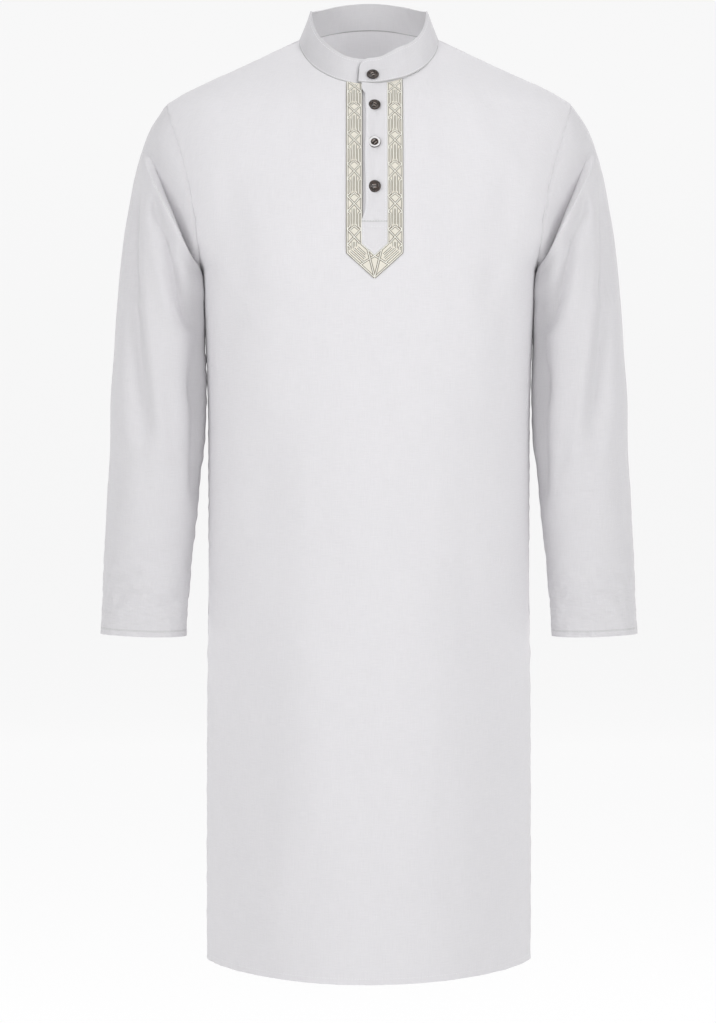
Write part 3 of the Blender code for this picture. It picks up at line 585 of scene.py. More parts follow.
def new_piece(name, corners, faces, finish, uv=None, slot="white_cloth"):
    """A mesh object that rides on the body, with its finish and its map of cloth lengths."""
    mesh = bpy.data.meshes.new(name)
    mesh.from_pydata(np.asarray(corners).tolist(), [], faces)
    if uv is not None:
        loop_corner = np.empty(len(mesh.loops), int)
        mesh.loops.foreach_get("vertex_index", loop_corner)
        layer = mesh.uv_layers.new(name="cloth")
        layer.data.foreach_set("uv", uv[loop_corner].astype(np.float32).ravel())
    mesh.materials.append(finish)
    mesh.shade_smooth()
    mesh.set_sharp_from_angle(angle=math.radians(60))
    piece = bpy.data.objects.new(name, mesh)
    bpy.context.collection.objects.link(piece)
    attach(piece, "root")
    return piece


def shell(
    name, points, finish, outside, inside, uv, left_out=None, slot="white_cloth", reverse=None
):
    """Closes a grid of points into a thin shell of cloth.

    outside and inside are how far its two faces lie from the points, one value or one for each
    point. left_out marks faces of the grid that are cut away. reverse is the finish of the
    inside faces where it differs.
    """
    normal = grid_normals(points)
    rows, columns = points.shape[:2]
    outside = np.broadcast_to(outside, (rows, columns))[..., None]
    inside = np.broadcast_to(inside, (rows, columns))[..., None]
    both = np.concatenate(
        [(points + normal * outside).reshape(-1, 3), (points - normal * inside).reshape(-1, 3)]
    )
    spot = np.arange(rows * columns).reshape(rows, columns)
    quads = np.stack([spot[:-1, :-1], spot[1:, :-1], spot[1:, 1:], spot[:-1, 1:]], axis=-1)
    kept = quads[~left_out] if left_out is not None else quads.reshape(-1, 4)
    far = rows * columns
    sides = np.concatenate([kept[:, [n, (n + 1) % 4]] for n in range(4)])
    code = sides[:, 0].astype(np.int64) * far + sides[:, 1]
    back_code = sides[:, 1].astype(np.int64) * far + sides[:, 0]
    free = sides[~np.isin(code, back_code)]
    rim = np.stack([free[:, 1], free[:, 0], free[:, 0] + far, free[:, 1] + far], axis=-1)
    faces = np.concatenate([kept, kept[:, ::-1] + far, rim])
    used = np.unique(faces)
    renumber = np.zeros(2 * far, int)
    renumber[used] = np.arange(len(used))
    flat_uv = np.concatenate([uv.reshape(-1, 2)] * 2)[used]
    piece = new_piece(name, both[used], renumber[faces].tolist(), finish, flat_uv, slot)
    if reverse is not None:
        piece.data.materials.append(reverse)
        spot = np.arange(len(faces))
        within = (spot >= len(kept)) & (spot < 2 * len(kept))
        piece.data.polygons.foreach_set("material_index", within.astype(np.int32))
    return piece


def on_front(x, z, lift):
    """Points over the front panel, moved out by lift."""
    step = 0.002
    here = body_point(-1, x, z)
    across = body_point(-1, x + step, z) - body_point(-1, x - step, z)
    down = body_point(-1, x, z - step) - body_point(-1, x, z + step)
    out = np.cross(across, down)
    out *= -np.sign(out[..., 1:2])
    out /= np.linalg.norm(out, axis=-1, keepdims=True)
    return here + np.asarray(lift)[..., None] * out


# ---------------------------------------------------------------- finishes

DARK_WEAVE, LIGHT_WEAVE = (0.703, 0.693, 0.711), (0.789, 0.778, 0.798)
SEAM_SHADE = (0.0003, 0.0013)  # where the shade beside a seam is full and where it ends
TAB_SHADE = 0.62  # how dark the shade on the collar is at most, as a share
SHADE_GREY = (0.16, 0.16, 0.17, 1)
CRUMPLE = 0.0011  # the height of the cuffs' small crumples


class Wire:
    """An output of a node. Maths on it adds Math nodes."""

    def __init__(self, finish, socket):
        self.finish, self.socket = finish, socket

    def math(self, operation, *values):
        return self.finish.node("ShaderNodeMath", {"operation": operation}, dict(enumerate(values)))

    def __add__(self, other):
        return self.math("ADD", self, other)

    def __sub__(self, other):
        return self.math("SUBTRACT", self, other)

    def __rsub__(self, other):
        return self.math("SUBTRACT", other, self)

    def __mul__(self, other):
        return self.math("MULTIPLY", self, other)

    def __truediv__(self, other):
        return self.math("DIVIDE", self, other)

    def __pow__(self, other):
        return self.math("POWER", self, other)

    __radd__, __rmul__ = __add__, __mul__

    def sine(self):
        return self.math("SINE", self)

    def size(self):
        return self.math("ABSOLUTE", self)

    def between(self, low, high):
        """0 below low, 1 above high and smooth between them."""
        settings = {"interpolation_type": "SMOOTHSTEP"}
        return self.finish.node("ShaderNodeMapRange", settings, {0: self, 1: low, 2: high})


class Finish:
    """A material, its Principled shader and the nodes that vary it."""

    def __init__(self, name, **fixed):
        self.material = bpy.data.materials.new(name)
        self.material.use_nodes = True
        self.tree = self.material.node_tree
        self.shader = self.tree.nodes["Principled BSDF"]
        for key, value in fixed.items():
            self.shader.inputs[key.replace("_", " ")].default_value = value

    def node(self, kind, settings=None, inputs=None, output=0):
        node = self.tree.nodes.new(kind)
        for key, value in (settings or {}).items():
            setattr(node, key, value)
        for key, value in (inputs or {}).items():
            if isinstance(value, Wire):
                self.tree.links.new(value.socket, node.inputs[key])
            else:
                node.inputs[key].default_value = value
        return Wire(self, node.outputs[output])

    def feed(self, name, wire):
        self.tree.links.new(wire.socket, self.shader.inputs[name])

    def cloth_lengths(self):
        """The lengths across and down the cloth, in metres, from the piece's map."""
        place = self.node("ShaderNodeUVMap", {"uv_map": "cloth"})
        return [self.node("ShaderNodeSeparateXYZ", None, {0: place}, way) for way in (0, 1)]

    def noise(self, across, down, size_across, size_down, detail=2.0):
        """Noise of a size, in metres, across and down the cloth, from 0 to 1."""
        spot = self.node(
            "ShaderNodeCombineXYZ", None, {0: across / size_across, 1: down / size_down}
        )
        inputs = {"Vector": spot, "Scale": 1.0, "Detail": detail}
        return self.node("ShaderNodeTexNoise", {"noise_dimensions": "2D"}, inputs)

    def mix(self, share, first, second):
        settings = {"data_type": "RGBA"}
        return self.node("ShaderNodeMix", settings, {0: share, 6: first, 7: second}, 2)

    def bump(self, height, distance=1.0, strength=1.0):
        """Feeds the normal from a height in metres."""
        inputs = {"Height": height, "Distance": distance, "Strength": strength}
        self.feed("Normal", self.node("ShaderNodeBump", None, inputs))


def weave_height(across, down, pitch):
    """Plain weave: threads that pass over and under each other."""
    turn = math.pi / pitch
    warp, weft = (across * turn).sine(), (down * turn).sine()
    over = warp * weft * 0.5 + 0.5
    return over * warp * warp + (1 - over) * weft * weft


def woven_white(
    name="woven_white", shade_tint=1.0, seam_at=0.0, seam_shade_grey=None, shaded=None, crumpled=None
):
    """Matt white cotton and linen: fine plain weave with slubs and a little unevenness.

    shade_tint is how light the cloth is painted beside the body's, which is 1; below 1 it is
    painted shade on a copy of the same cloth. seam_shade_grey is the grey of the painted shade in
    the dip of a seam or a row of stitches, which lies seam_at up its map. shaded names a value of
    the mesh that paints shade on the cloth.
    crumpled is how far up its map the cloth is fully crumpled, and where the crumples end.
    """
    finish = Finish(
        name, Roughness=0.88, Sheen_Weight=0.25, Sheen_Roughness=0.45, Specular_IOR_Level=0.25
    )
    across, down = finish.cloth_lengths()
    weave = weave_height(across, down, 0.00055)
    weft_slub = finish.noise(across, down, 0.0140, 0.0008, 3.0)
    warp_slub = finish.noise(across, down, 0.0008, 0.0180, 3.0)
    cloudy = finish.noise(across, down, 0.0300, 0.0400, 4.0)
    crumple = finish.noise(across, down, 0.0090, 0.0060, 3.0)
    slub = weft_slub.between(0.52, 0.80) + warp_slub.between(0.55, 0.82)
    streak = (weft_slub + warp_slub) * 0.5
    shade = streak * 0.70 + cloudy * 0.08 + weave * 0.22
    # painted shade: a tint below 1 paints the whole cloth darker than the body's
    dark, light = (tuple(shade_tint * part for part in tone) + (1,) for tone in (DARK_WEAVE, LIGHT_WEAVE))
    cloth = finish.mix(shade.between(0.15, 0.85), dark, light)
    # painted shade: the dip of a seam or a row of stitches is painted grey
    if seam_shade_grey is not None:
        seam = (seam_shade_grey, seam_shade_grey, seam_shade_grey, 1)
        cloth = finish.mix((down - seam_at).size().between(*SEAM_SHADE), seam, cloth)
    if shaded is not None:
        share = finish.node("ShaderNodeAttribute", {"attribute_name": shaded}, None, 2)
        cloth = finish.mix(share * TAB_SHADE, cloth, SHADE_GREY)
    finish.feed("Base Color", cloth)
    height = weave * 0.00005 + slub * 0.00006 + streak * 0.00007 + crumple * 0.00010
    if crumpled is not None:
        small = finish.noise(across, down, 0.0110, 0.0042, 3.0)
        height = height + small * (1 - down.between(*crumpled)) * CRUMPLE
    finish.bump(height)
    return finish.material


def sewing_thread():
    """White sewing thread."""
    return Finish(
        "white_thread", Base_Color=(0.83, 0.83, 0.85, 1), Roughness=0.6, Sheen_Weight=0.3
    ).material


def embroidery_thread(name, light, dark, stitch):
    """Satin stitch: fine threads laid side by side across each line, with a soft sheen."""
    finish = Finish(name, Roughness=0.5, Sheen_Weight=0.35, Specular_IOR_Level=0.4)
    across, down = finish.cloth_lengths()
    thread = ((down + across * 0.35) * (2 * math.pi / stitch)).sine() * 0.5 + 0.5
    patchy = finish.noise(across, down, 0.004, 0.004, 2.0)
    finish.feed("Base Color", finish.mix(thread * 0.6 + patchy * 0.4, (*dark, 1), (*light, 1)))
    finish.bump(thread * 0.00008 + patchy * 0.00005)
    return finish.material


def polished_horn(name, light, dark, coat):
    """Dark mottled button: cloudy brown with paler streaks under a gloss."""
    finish = Finish(name, Roughness=0.32, Coat_Weight=coat, Coat_Roughness=0.10)
    place = finish.node("ShaderNodeTexCoord", None, None, 3)
    inputs = {"Vector": place, "Scale": 420.0, "Detail": 3.0, "Distortion": 1.6}
    cloud = finish.node("ShaderNodeTexNoise", None, inputs)
    finish.feed("Base Color", finish.mix(cloud.between(0.35, 0.75), (*dark, 1), (*light, 1)))
    finish.bump(cloud * 0.00006)
    return finish.material


# ---------------------------------------------------------------- stitches


def tube_faces(base, rings, around):
    """The faces of a closed tube of rings of corners, of which the first corner is base."""
    faces = []
    for ring in range(rings - 1):
        for n in range(around):
            a, b = base + ring * around + n, base + ring * around + (n + 1) % around
            faces.append((a, b, b + around, a + around))
    last = base + (rings - 1) * around
    faces.append(tuple(base + n for n in reversed(range(around))))
    faces.append(tuple(last + n for n in range(around)))
    return faces


def stitch_line(path, normal):
    """Stitches along a line of points, as corners and faces of one mesh.

    Each is a small round-ended ridge of thread that dips into the cloth at its ends.
    """
    length = run_lengths(path, 0)
    centres = np.arange(STITCH_PITCH, length[-1] - STITCH_PITCH / 2, STITCH_PITCH)
    corners, faces = [], []
    profile = ((-0.5, 0.35, -0.6), (-0.28, 1.0, 0.45), (0.28, 1.0, 0.45), (0.5, 0.35, -0.6))
    for centre in centres:
        faces += tube_faces(len(corners), len(profile), 5)
        for share, wide, rise in profile:
            at = centre + share * STITCH
            point = np.array([np.interp(at, length, path[:, k]) for k in range(3)])
            out = np.array([np.interp(at, length, normal[:, k]) for k in range(3)])
            ahead = np.array([np.interp(at + 1e-4, length, path[:, k]) for k in range(3)]) - point
            side = np.cross(out, ahead)
            side /= max(np.linalg.norm(side), 1e-12)
            for turn in (0, 72, 144, 216, 288):
                across = math.sin(math.radians(turn)) * STITCH_HALF * wide
                up = (math.cos(math.radians(turn)) * 0.7 * wide + rise) * STITCH_HIGH / 2
                corners.append(point + side * across + out * up)
    return corners, faces


def stitches(name, lines, thread):
    """All the stitches of one piece, joined into one mesh. A line is its points and normals."""
    corners, faces = [], []
    for path, normal in lines:
        more_corners, more_faces = stitch_line(path, normal)
        base = len(corners)
        corners += more_corners
        faces += [tuple(base + corner for corner in face) for face in more_faces]
    return new_piece(name, np.array(corners), faces, thread)


def row_at(grid, distance, lengths, reverse=False):
    """The line that runs a distance in from the first or last row of a grid, and its normals."""
    total = lengths[-1]
    wanted = total - distance if reverse else np.full_like(total, distance)
    normal = grid_normals(grid)
    line, out = [], []
    for j in range(grid.shape[1]):
        line.append([np.interp(wanted[j], lengths[:, j], grid[:, j, k]) for k in range(3)])
        out.append([np.interp(wanted[j], lengths[:, j], normal[:, j, k]) for k in range(3)])
    return np.array(line), np.array(out)


def lengths_from_hem(grid):
    """How far each point lies from its column's last row, along the cloth."""
    down = run_lengths(grid, 0)
    return down[-1] - down


def raise_by(line, height):
    """A line of stitches moved out to the face of the cloth that it is sewn through."""
    path, normal = line
    return path + normal * height, normal


# ---------------------------------------------------------------- body

FACE = 0.00075  # the cloth's outer face, from the middle of the solids' walls
ROLL, ROLL_WIDTH = 0.0004, 0.0015  # how the cloth turns in at a seam
PUCKER = 0.00045  # how far the cloth puckers beside its seams
EDGE_SHARE = 0.6  # the share of both that a panel's own edge has
EDGE_BLEND = 0.0025  # how far down the sleeve its edge is eased on to the armhole

white = woven_white()
# painted shade: the sleeves are the body's cloth painted darker, with painted shade along the
# cuff's stitches
sleeve_white = woven_white(
    "woven_white_sleeves_painted_shade", 0.906, CUFF_DEPTH, 0.54, crumpled=(0.020, 0.115)
)
# painted shade: the collar's inside is the same cloth painted darker, with painted shade along the
# neck seam
inside_shade_white = woven_white("woven_white_inside_painted_shade", 0.80, seam_shade_grey=0.34)
# painted shade: the collar's outside painted darker, and painted shade along its foot
collar_white = woven_white("woven_white_collar_painted_shade", 0.915, seam_shade_grey=0.50, shaded="tab_shade")
thread = sewing_thread()


def neck_columns():
    """Where the front's columns meet the neck seam, with one on each edge of band and trim."""
    marks = [PLACKET_X + way * half for way in (-1, 1) for half in (BAND_HALF, TRIM_HALF)]
    even = NECK_HALF * np.sin(np.linspace(-math.pi / 2, math.pi / 2, 51))
    apart = [x for x in even if min(abs(x - mark) for mark in marks) > 0.0014]
    return np.array(sorted(apart + marks))


def sew_panel(grid, fans, seed):
    """Turns a panel's edges in at its seams and puckers the cloth beside them and its hem."""
    normal = grid_normals(grid)
    over, down = run_lengths(grid, 1), run_lengths(grid, 0)
    from_side = np.minimum(over, over[:, -1:] - over)
    from_hem = down[-1] - down
    z = grid[..., 2]
    sewn_side = ease((z - SLIT_TOP_Z) / 0.010)
    from_top = down.copy()
    from_top[:, fans:-fans] += 1
    roll = sewn_side * np.exp(-((from_side / ROLL_WIDTH) ** 2))
    roll = roll + np.exp(-((from_top / ROLL_WIDTH) ** 2))
    beside_side = sewn_side * np.exp(-from_side / 0.010) * waves(z, 0, 0.016, seed)
    beside_top = np.exp(-from_top / 0.009) * waves(over, 0, 0.015, seed + 1)
    beside_hem = np.exp(-from_hem / 0.014) * waves(over, 0.3 * z, 0.020, seed + 2)
    beside_slit = (1 - sewn_side) * np.exp(-from_side / 0.012) * waves(z, 0, 0.024, seed + 3)
    out = PUCKER * (beside_side + beside_top + 1.3 * beside_hem + beside_slit)
    out = out - ROLL * np.minimum(roll, 1)
    out[:, (0, -1)] *= EDGE_SHARE
    out[0, 1:-1] *= EDGE_SHARE
    return grid + level_at_seams(normal, fans) * out[..., None]


def level_at_seams(normal, fans):
    """Normals with no lean towards the other panel, where two panels are sewn together."""
    normal = normal.copy()
    normal[0, : fans + 1, 1] = normal[0, -fans - 1 :, 1] = 0
    normal[ROWS_ABOVE:, (0, -1), 1] = 0
    return normal / np.linalg.norm(normal, axis=-1, keepdims=True)


def armhole_edge(front, back, end):
    """The armhole's sewn edge at one end of the panels' rows, in the order of a sleeve's ring."""
    ring = np.concatenate([front[: ROWS_ABOVE + 1, end], back[ROWS_ABOVE - 1 : 0 : -1, end]])
    ring = np.roll(ring, -ROWS_ABOVE, axis=0)
    return np.concatenate([ring, ring[:1]])


def hem_map(grid):
    """The map of a panel or sleeve: lengths across from its middle column and up from its hem."""
    over = run_lengths(grid, 1)
    middle = over[:, [grid.shape[1] // 2]]
    return np.stack([over - middle, lengths_from_hem(grid)], axis=-1)


def hem_thickness(uv, grid):
    """The inner face's distance, thicker over the turned hem and the slits' turned edges."""
    over = run_lengths(grid, 1)
    from_side = np.minimum(over, over[:, -1:] - over)
    below_slit = grid[..., 2] < SLIT_TOP_Z + 0.004
    turned = np.maximum(
        1 - ease((uv[..., 1] - HEM_DEPTH) / HEM_STEP),
        (1 - ease((from_side - SLIT_HEM_DEPTH) / HEM_STEP)) * below_slit,
    )
    return CLOTH - FACE + HEM_EXTRA * turned


def slit_lines(grid):
    """The lines of stitches beside a panel's two slits, from the slit's top to the hem."""
    low = grid[:, 0, 2] < SLIT_TOP_Z + 0.008
    lines = []
    for side in (grid[low], grid[low][:, ::-1]):
        turned = np.swapaxes(side, 0, 1)
        path, normal = row_at(turned, SLIT_HEM_DEPTH, run_lengths(turned, 0))
        lines.append((path, normal * np.sign(np.sum(normal * panel_out(path), axis=-1))[:, None]))
    return lines


def panel_out(path):
    """A rough outward direction at each point of a line on the body."""
    out = path * (1, 1, 0)
    return out / np.linalg.norm(out, axis=-1, keepdims=True)


def hem_stitches(name, grid):
    """The stitches of a panel's hem and of its two slits."""
    hem = row_at(grid, HEM_DEPTH, run_lengths(grid, 0), reverse=True)
    lines = [raise_by(line, FACE) for line in [hem] + slit_lines(grid)]
    return stitches(name, lines, thread)


front, front_fans = panel_grid(-1, neck_columns())
back, back_fans = panel_grid(1, NECK_HALF * np.sin(np.linspace(-math.pi / 2, math.pi / 2, 45)))
corners = neck_corners(front, back, front_fans)
sleeve = sleeve_grid(front, back)

front = sew_panel(front, front_fans, 41)
middle_x = (front[:-1, :-1, 0] + front[:-1, 1:, 0] + front[1:, :-1, 0] + front[1:, 1:, 0]) / 4
middle_z = (front[:-1, :-1, 2] + front[1:, 1:, 2]) / 2
opening = (np.abs(middle_x - PLACKET_X) < BAND_HALF) & (middle_z > CUT_FOOT_Z)
front_uv = hem_map(front)
robe_front = shell(
    "front_panel", front, white, FACE, hem_thickness(front_uv, front), front_uv, opening
)
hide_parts("front")

back = sew_panel(back, back_fans, 51)
armholes = {"left": armhole_edge(front, back, -1)[::-1], "right": armhole_edge(front, back, 0)}
back = back[:, ::-1]
back_uv = hem_map(back)
robe_back = shell("back_panel", back, white, FACE, hem_thickness(back_uv, back), back_uv)
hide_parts("back")

front_stitches = hem_stitches("front_hem_stitches", front)
back_stitches = hem_stitches("back_hem_stitches", back)

# ---------------------------------------------------------------- sleeves


def sew_sleeve(grid, edge, seed):
    """Turns a sleeve in at the armhole and under the arm, and puckers it there and at the cuff."""
    normal = grid_normals(grid)
    down, around = run_lengths(grid, 0), run_lengths(grid, 1)
    from_cuff = down[-1] - down
    from_seam = np.minimum(around, around[:, -1:] - around)
    roll = np.exp(-((down / ROLL_WIDTH) ** 2)) + np.exp(-((from_seam / ROLL_WIDTH) ** 2))
    beside_armhole = np.exp(-down / 0.012) * waves(around, 0, 0.016, seed)
    beside_seam = np.exp(-from_seam / 0.010) * waves(down, 0, 0.018, seed + 1)
    beside_cuff = np.exp(-from_cuff / 0.012) * waves(around, 0.3 * down, 0.016, seed + 2)
    out = PUCKER * (beside_armhole + beside_seam + beside_cuff) - ROLL * np.minimum(roll, 1)
    out[:, (0, -1)] = -ROLL
    grid = grid + normal * out[..., None]
    beside_body = edge - grid[0]
    beside_body[:, 0] += math.copysign(SEAM_GAP, edge[0, 0])
    return grid + beside_body * np.exp(-((down / EDGE_BLEND) ** 2))[..., None]


sleeves, sleeve_stitches = {}, {}
for side, way in (("left", 1), ("right", -1)):
    grid = sleeve * (way, 1, 1)
    grid = grid[:, ::-1] if way > 0 else grid
    grid = sew_sleeve(grid, armholes[side], 61 if way > 0 else 71)
    uv = hem_map(grid)
    turned = 1 - ease((uv[..., 1] - CUFF_DEPTH) / HEM_STEP)
    thick = CLOTH - FACE + HEM_EXTRA * turned
    sleeves[side] = shell(f"{side}_sleeve", grid, sleeve_white, FACE, thick, uv)
    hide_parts(f"sleeve_{side}")
    cuff_line = row_at(grid, CUFF_DEPTH, run_lengths(grid, 0), reverse=True)
    lines = [raise_by(cuff_line, FACE)]
    sleeve_stitches[side] = stitches(f"{side}_cuff_stitches", lines, thread)

# ---------------------------------------------------------------- collar

TAB_SHADE_WIDE, TAB_SHADE_OUT = 0.0012, 0.0007  # its half width, and its place past the edge
TAB_SHADE_REACH = 0.05
SIDE_SHADE, SIDE_SHADE_X = 0.25, 0.020  # the shade of the collar's right front, and its start


def tab_shade(past_end, below_rim):
    """The shade that the lapping end casts on the collar beneath, along its edge, from 0 to 1."""
    turn = np.linspace(0, math.pi / 2, 40)
    corner_past = -TAB_ROUND * (1 - np.sin(turn))
    corner_down = TAB_DROP * (1 - np.cos(turn))
    edge_past = np.concatenate([corner_past, np.zeros(30)]) + TAB_SHADE_OUT
    edge_down = np.concatenate([corner_down, np.linspace(TAB_DROP, COLLAR_HEIGHT * 1.4, 30)])
    aside = past_end[:, None, None] - edge_past
    down = below_rim[..., None] - edge_down
    near = np.min(np.hypot(aside, down), axis=-1)
    beneath = np.abs(past_end)[:, None] < TAB_SHADE_REACH
    return np.exp(-((near / TAB_SHADE_WIDE) ** 2)) * beneath


def collar_shade(grid, past_end, below_rim):
    """How shaded the collar is at each point: under its lapping end, and on its right front."""
    right_front = ease((-grid[..., 0] - SIDE_SHADE_X) / 0.032) * ease(-grid[..., 1] / 0.030)
    return np.maximum(tab_shade(past_end, below_rim), SIDE_SHADE * right_front)


collar_points, past_end = collar_grid(corners)
collar_points = collar_points[:, ::-1]
along = run_lengths(collar_points, 0).mean(axis=1, keepdims=True)
along = np.broadcast_to(along, collar_points.shape[:2])
collar_down = run_lengths(collar_points, 1)
collar_uv = np.stack([along, collar_down[:, -1:] - collar_down], axis=-1)
half = COLLAR_CLOTH / 2
robe_collar = shell(
    "band_collar", collar_points, collar_white, half, half, collar_uv, reverse=inside_shade_white
)
shade = collar_shade(collar_points, past_end, collar_down)
shade = np.tile(shade.ravel(), 2).astype(np.float32)
robe_collar.data.attributes.new("tab_shade", "FLOAT", "POINT").data.foreach_set("value", shade)
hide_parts("collar")


def collar_stitch_lines():
    """One line of stitches near the collar's upper edge and one just above the neck seam."""
    flipped = np.swapaxes(collar_points, 0, 1)
    lines = []
    for inset, reverse in ((0.0042, False), (0.0022, True)):
        path, normal = row_at(flipped, inset, run_lengths(flipped, 0), reverse)
        lines.append(raise_by((path, -normal), half))
    return lines


collar_stitches = stitches("collar_stitches", collar_stitch_lines(), thread)

# ---------------------------------------------------------------- placket bands

BAND_FACE = 0.0023  # the upper band's outer face, from the middle of the front's wall


def band_place(share, z):
    """How far the upper band's middle stands off: most at its free edge, none at its foot."""
    free = ease((0.35 - share) / 1.2)
    open_part = ease((z - BOX_STITCH_Z) / 0.024) * (1 - 0.5 * ease((z + 0.085) / 0.03))
    return BAND_LIFT * free * open_part


def free_edge_in(share, z):
    """How far the upper band's free edge is drawn in sideways between collar and box stitch."""
    drawn = ease((z - BOX_STITCH_Z) / 0.014) * ease((-0.0655 - z) / 0.009)
    return EDGE_IN * (drawn + 0.12 * waves(z, 0, 0.05, 91)) * ease((0.1 - share) / 1.1)


def band_grid(half_wide, corner_z, point_z, rows, lift):
    """A band from the neck seam to its foot. One with no lift lies flat on the front's own form."""
    share = np.linspace(-1, 1, 19)
    x = PLACKET_X + half_wide * share
    top = neck_z(-1, x)
    foot = point_z + (corner_z - point_z) * np.abs(share)
    z = top + (foot - top) * np.linspace(0, 1, rows)[:, None]
    x, share = np.broadcast_to(x, z.shape), np.broadcast_to(share, z.shape)
    if lift == 0:
        return on_front(x, z, lift)
    return on_front(x + free_edge_in(share, z), z, lift + band_place(share, z))


def heights_along():
    """Heights down the front beside the placket, and the length of cloth to each."""
    z = np.linspace(-0.03, -0.30, 400)
    line = body_point(-1, np.full(z.shape, PLACKET_X + (BAND_HALF + TRIM_HALF) / 2), z)
    return z, run_lengths(line, 0)


def band_map(grid):
    """Lengths across, and down from one height, so that the weave runs straight."""
    z_at, length_at = heights_along()
    return np.stack([run_lengths(grid, 1), np.interp(-grid[..., 2], -z_at, length_at)], axis=-1)


def box_pinch(grid):
    """How far the upper band is pulled in at and below the box stitch, and in a pleat above it."""
    up = grid[..., 2] - BOX_STITCH_Z
    at_stitch = 0.00055 * np.exp(-((up / 0.0013) ** 2))
    below = 0.00035 * np.exp(-(((up + 0.0045) / 0.0035) ** 2))
    from_pleat = grid[..., 0] - PLACKET_X - 0.0035
    pleat = 0.0004 * np.exp(-((from_pleat / 0.0016) ** 2)) * ease((0.026 - up) / 0.02) * (up > 0)
    return at_stitch + below + pleat


band_thick = BAND_FACE - FACE - LAY_GAP
over_lift = BAND_FACE - band_thick / 2
over_band = band_grid(BAND_HALF, BAND_CORNER_Z, BAND_POINT_Z, 240, over_lift)
box_at = float(np.interp(-BOX_STITCH_Z, -heights_along()[0], heights_along()[1]))
# painted shade: the upper band painted a little darker, and painted shade along its box stitch
band_white = woven_white("woven_white_band_painted_shade", 0.955, box_at, seam_shade_grey=0.56)
pinch = box_pinch(over_band)
robe_band = shell(
    "upper_placket_band",
    over_band,
    band_white,
    band_thick / 2 - pinch,
    band_thick / 2,
    band_map(over_band),
)
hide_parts("placket_over")

under_band = band_grid(BAND_HALF - SEAM_GAP, CUT_FOOT_Z + 0.002, CUT_FOOT_Z + 0.002, 120, 0)
robe_under = shell("lower_placket_band", under_band, white, 0.0006, 0.0006, band_map(under_band))
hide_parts("placket_under")


def band_stitch_lines():
    """Stitches down both edges of the upper band, round its point and across above its foot."""
    lines = []
    inset = 1 - 0.0020 / BAND_HALF
    z = np.linspace(-0.066, BAND_CORNER_Z + 0.001, 150)
    for way in (-1, 1):
        foot_z = np.linspace(BAND_CORNER_Z + 0.0010, BAND_POINT_Z + 0.0025, 20)
        runs = [(np.full(z.shape, way * inset), z), (np.linspace(way * inset, 0, 20), foot_z)]
        for share, height in runs:
            lines.append(line_on_band(share, height))
    for height in (BOX_STITCH_Z, BOX_STITCH_Z - 0.0060):
        lines.append(line_on_band(np.linspace(-inset, inset, 30), np.full(30, height)))
    return lines


def line_on_band(share, z):
    """Points on the upper band's face and their normals."""
    x, lift = PLACKET_X + BAND_HALF * share + free_edge_in(share, z), band_place(share, z)
    path = on_front(x, z, BAND_FACE + lift)
    return path, (path - on_front(x, z, BAND_FACE + lift - 0.001)) * 1000


band_stitches = stitches("placket_stitches", band_stitch_lines(), thread)

# ---------------------------------------------------------------- embroidered trim

TRIM_FACE = 0.0017  # the trim cloth's outer face, from the middle of the front's wall
REPEAT = 0.0373  # from one crossing of the pattern to the next, along the cloth
FIRST_CROSS_Z = -0.0625
CROSSINGS = 6
CORD_WIDE, CORD_HIGH = 0.00125, 0.00045
EDGE_WIDE, EDGE_HIGH = 0.00255, 0.00010
OVER = 0.00030  # how far a crossing line lies above the one that it crosses
TRIM_TOP_GAP = 0.0008  # between the collar and the ends of the lines

# One repeat of the pattern, as lines from point to point. across is from the trim's inner edge
# (-1) to its outer edge (1), along is in repeats from a crossing. The first of each row is 1
# for a line that passes over those that it crosses.
REPEAT_LINES = (
    (1, (-0.93, -0.23), (0.93, 0.23)),
    (0, (0.93, -0.23), (-0.93, 0.23)),
    (0, (-0.55, -0.225), (0.00, -0.33), (0.55, -0.225)),
    (0, (-0.93, 0.23), (-0.55, 0.31), (-0.55, 0.68), (-0.93, 0.77)),
    (0, (0.93, 0.23), (0.55, 0.31), (0.55, 0.68), (0.93, 0.77)),
    (0, (-0.19, 0.15), (-0.19, 0.62)),
    (0, (0.19, 0.15), (0.19, 0.62)),
)
BORDER = 0.93
# On the two arms of the foot, along is the share of the way from the corner to the point.
FOOT_LINES = (
    (0, (-0.35, 0.05), (-0.35, 0.50)),
    (0, (0.05, 0.02), (0.05, 0.53)),
    (0, (0.48, 0.02), (0.48, 0.56)),
    (1, (-0.93, 0.48), (0.93, 1.00)),
    (0, (0.93, 0.48), (-0.93, 1.00)),
)


def trim_sizes(share):
    """The trim's half width, and the height of its corner and point, from inner edge to outer."""
    inner = BAND_HALF + SEAM_GAP
    half_wide = inner + (TRIM_HALF - inner) * share
    corner = BAND_CORNER_Z + (TRIM_CORNER_Z - BAND_CORNER_Z) * share
    point = BAND_POINT_Z - SEAM_GAP + (TRIM_POINT_Z - BAND_POINT_Z + SEAM_GAP) * share
    return half_wide, corner, point


def on_arm(way, across, along):
    """x and z on an arm of the trim's foot."""
    half_wide, corner, point = trim_sizes((across + 1) / 2)
    return PLACKET_X + way * half_wide * (1 - along), corner + (point - corner) * along


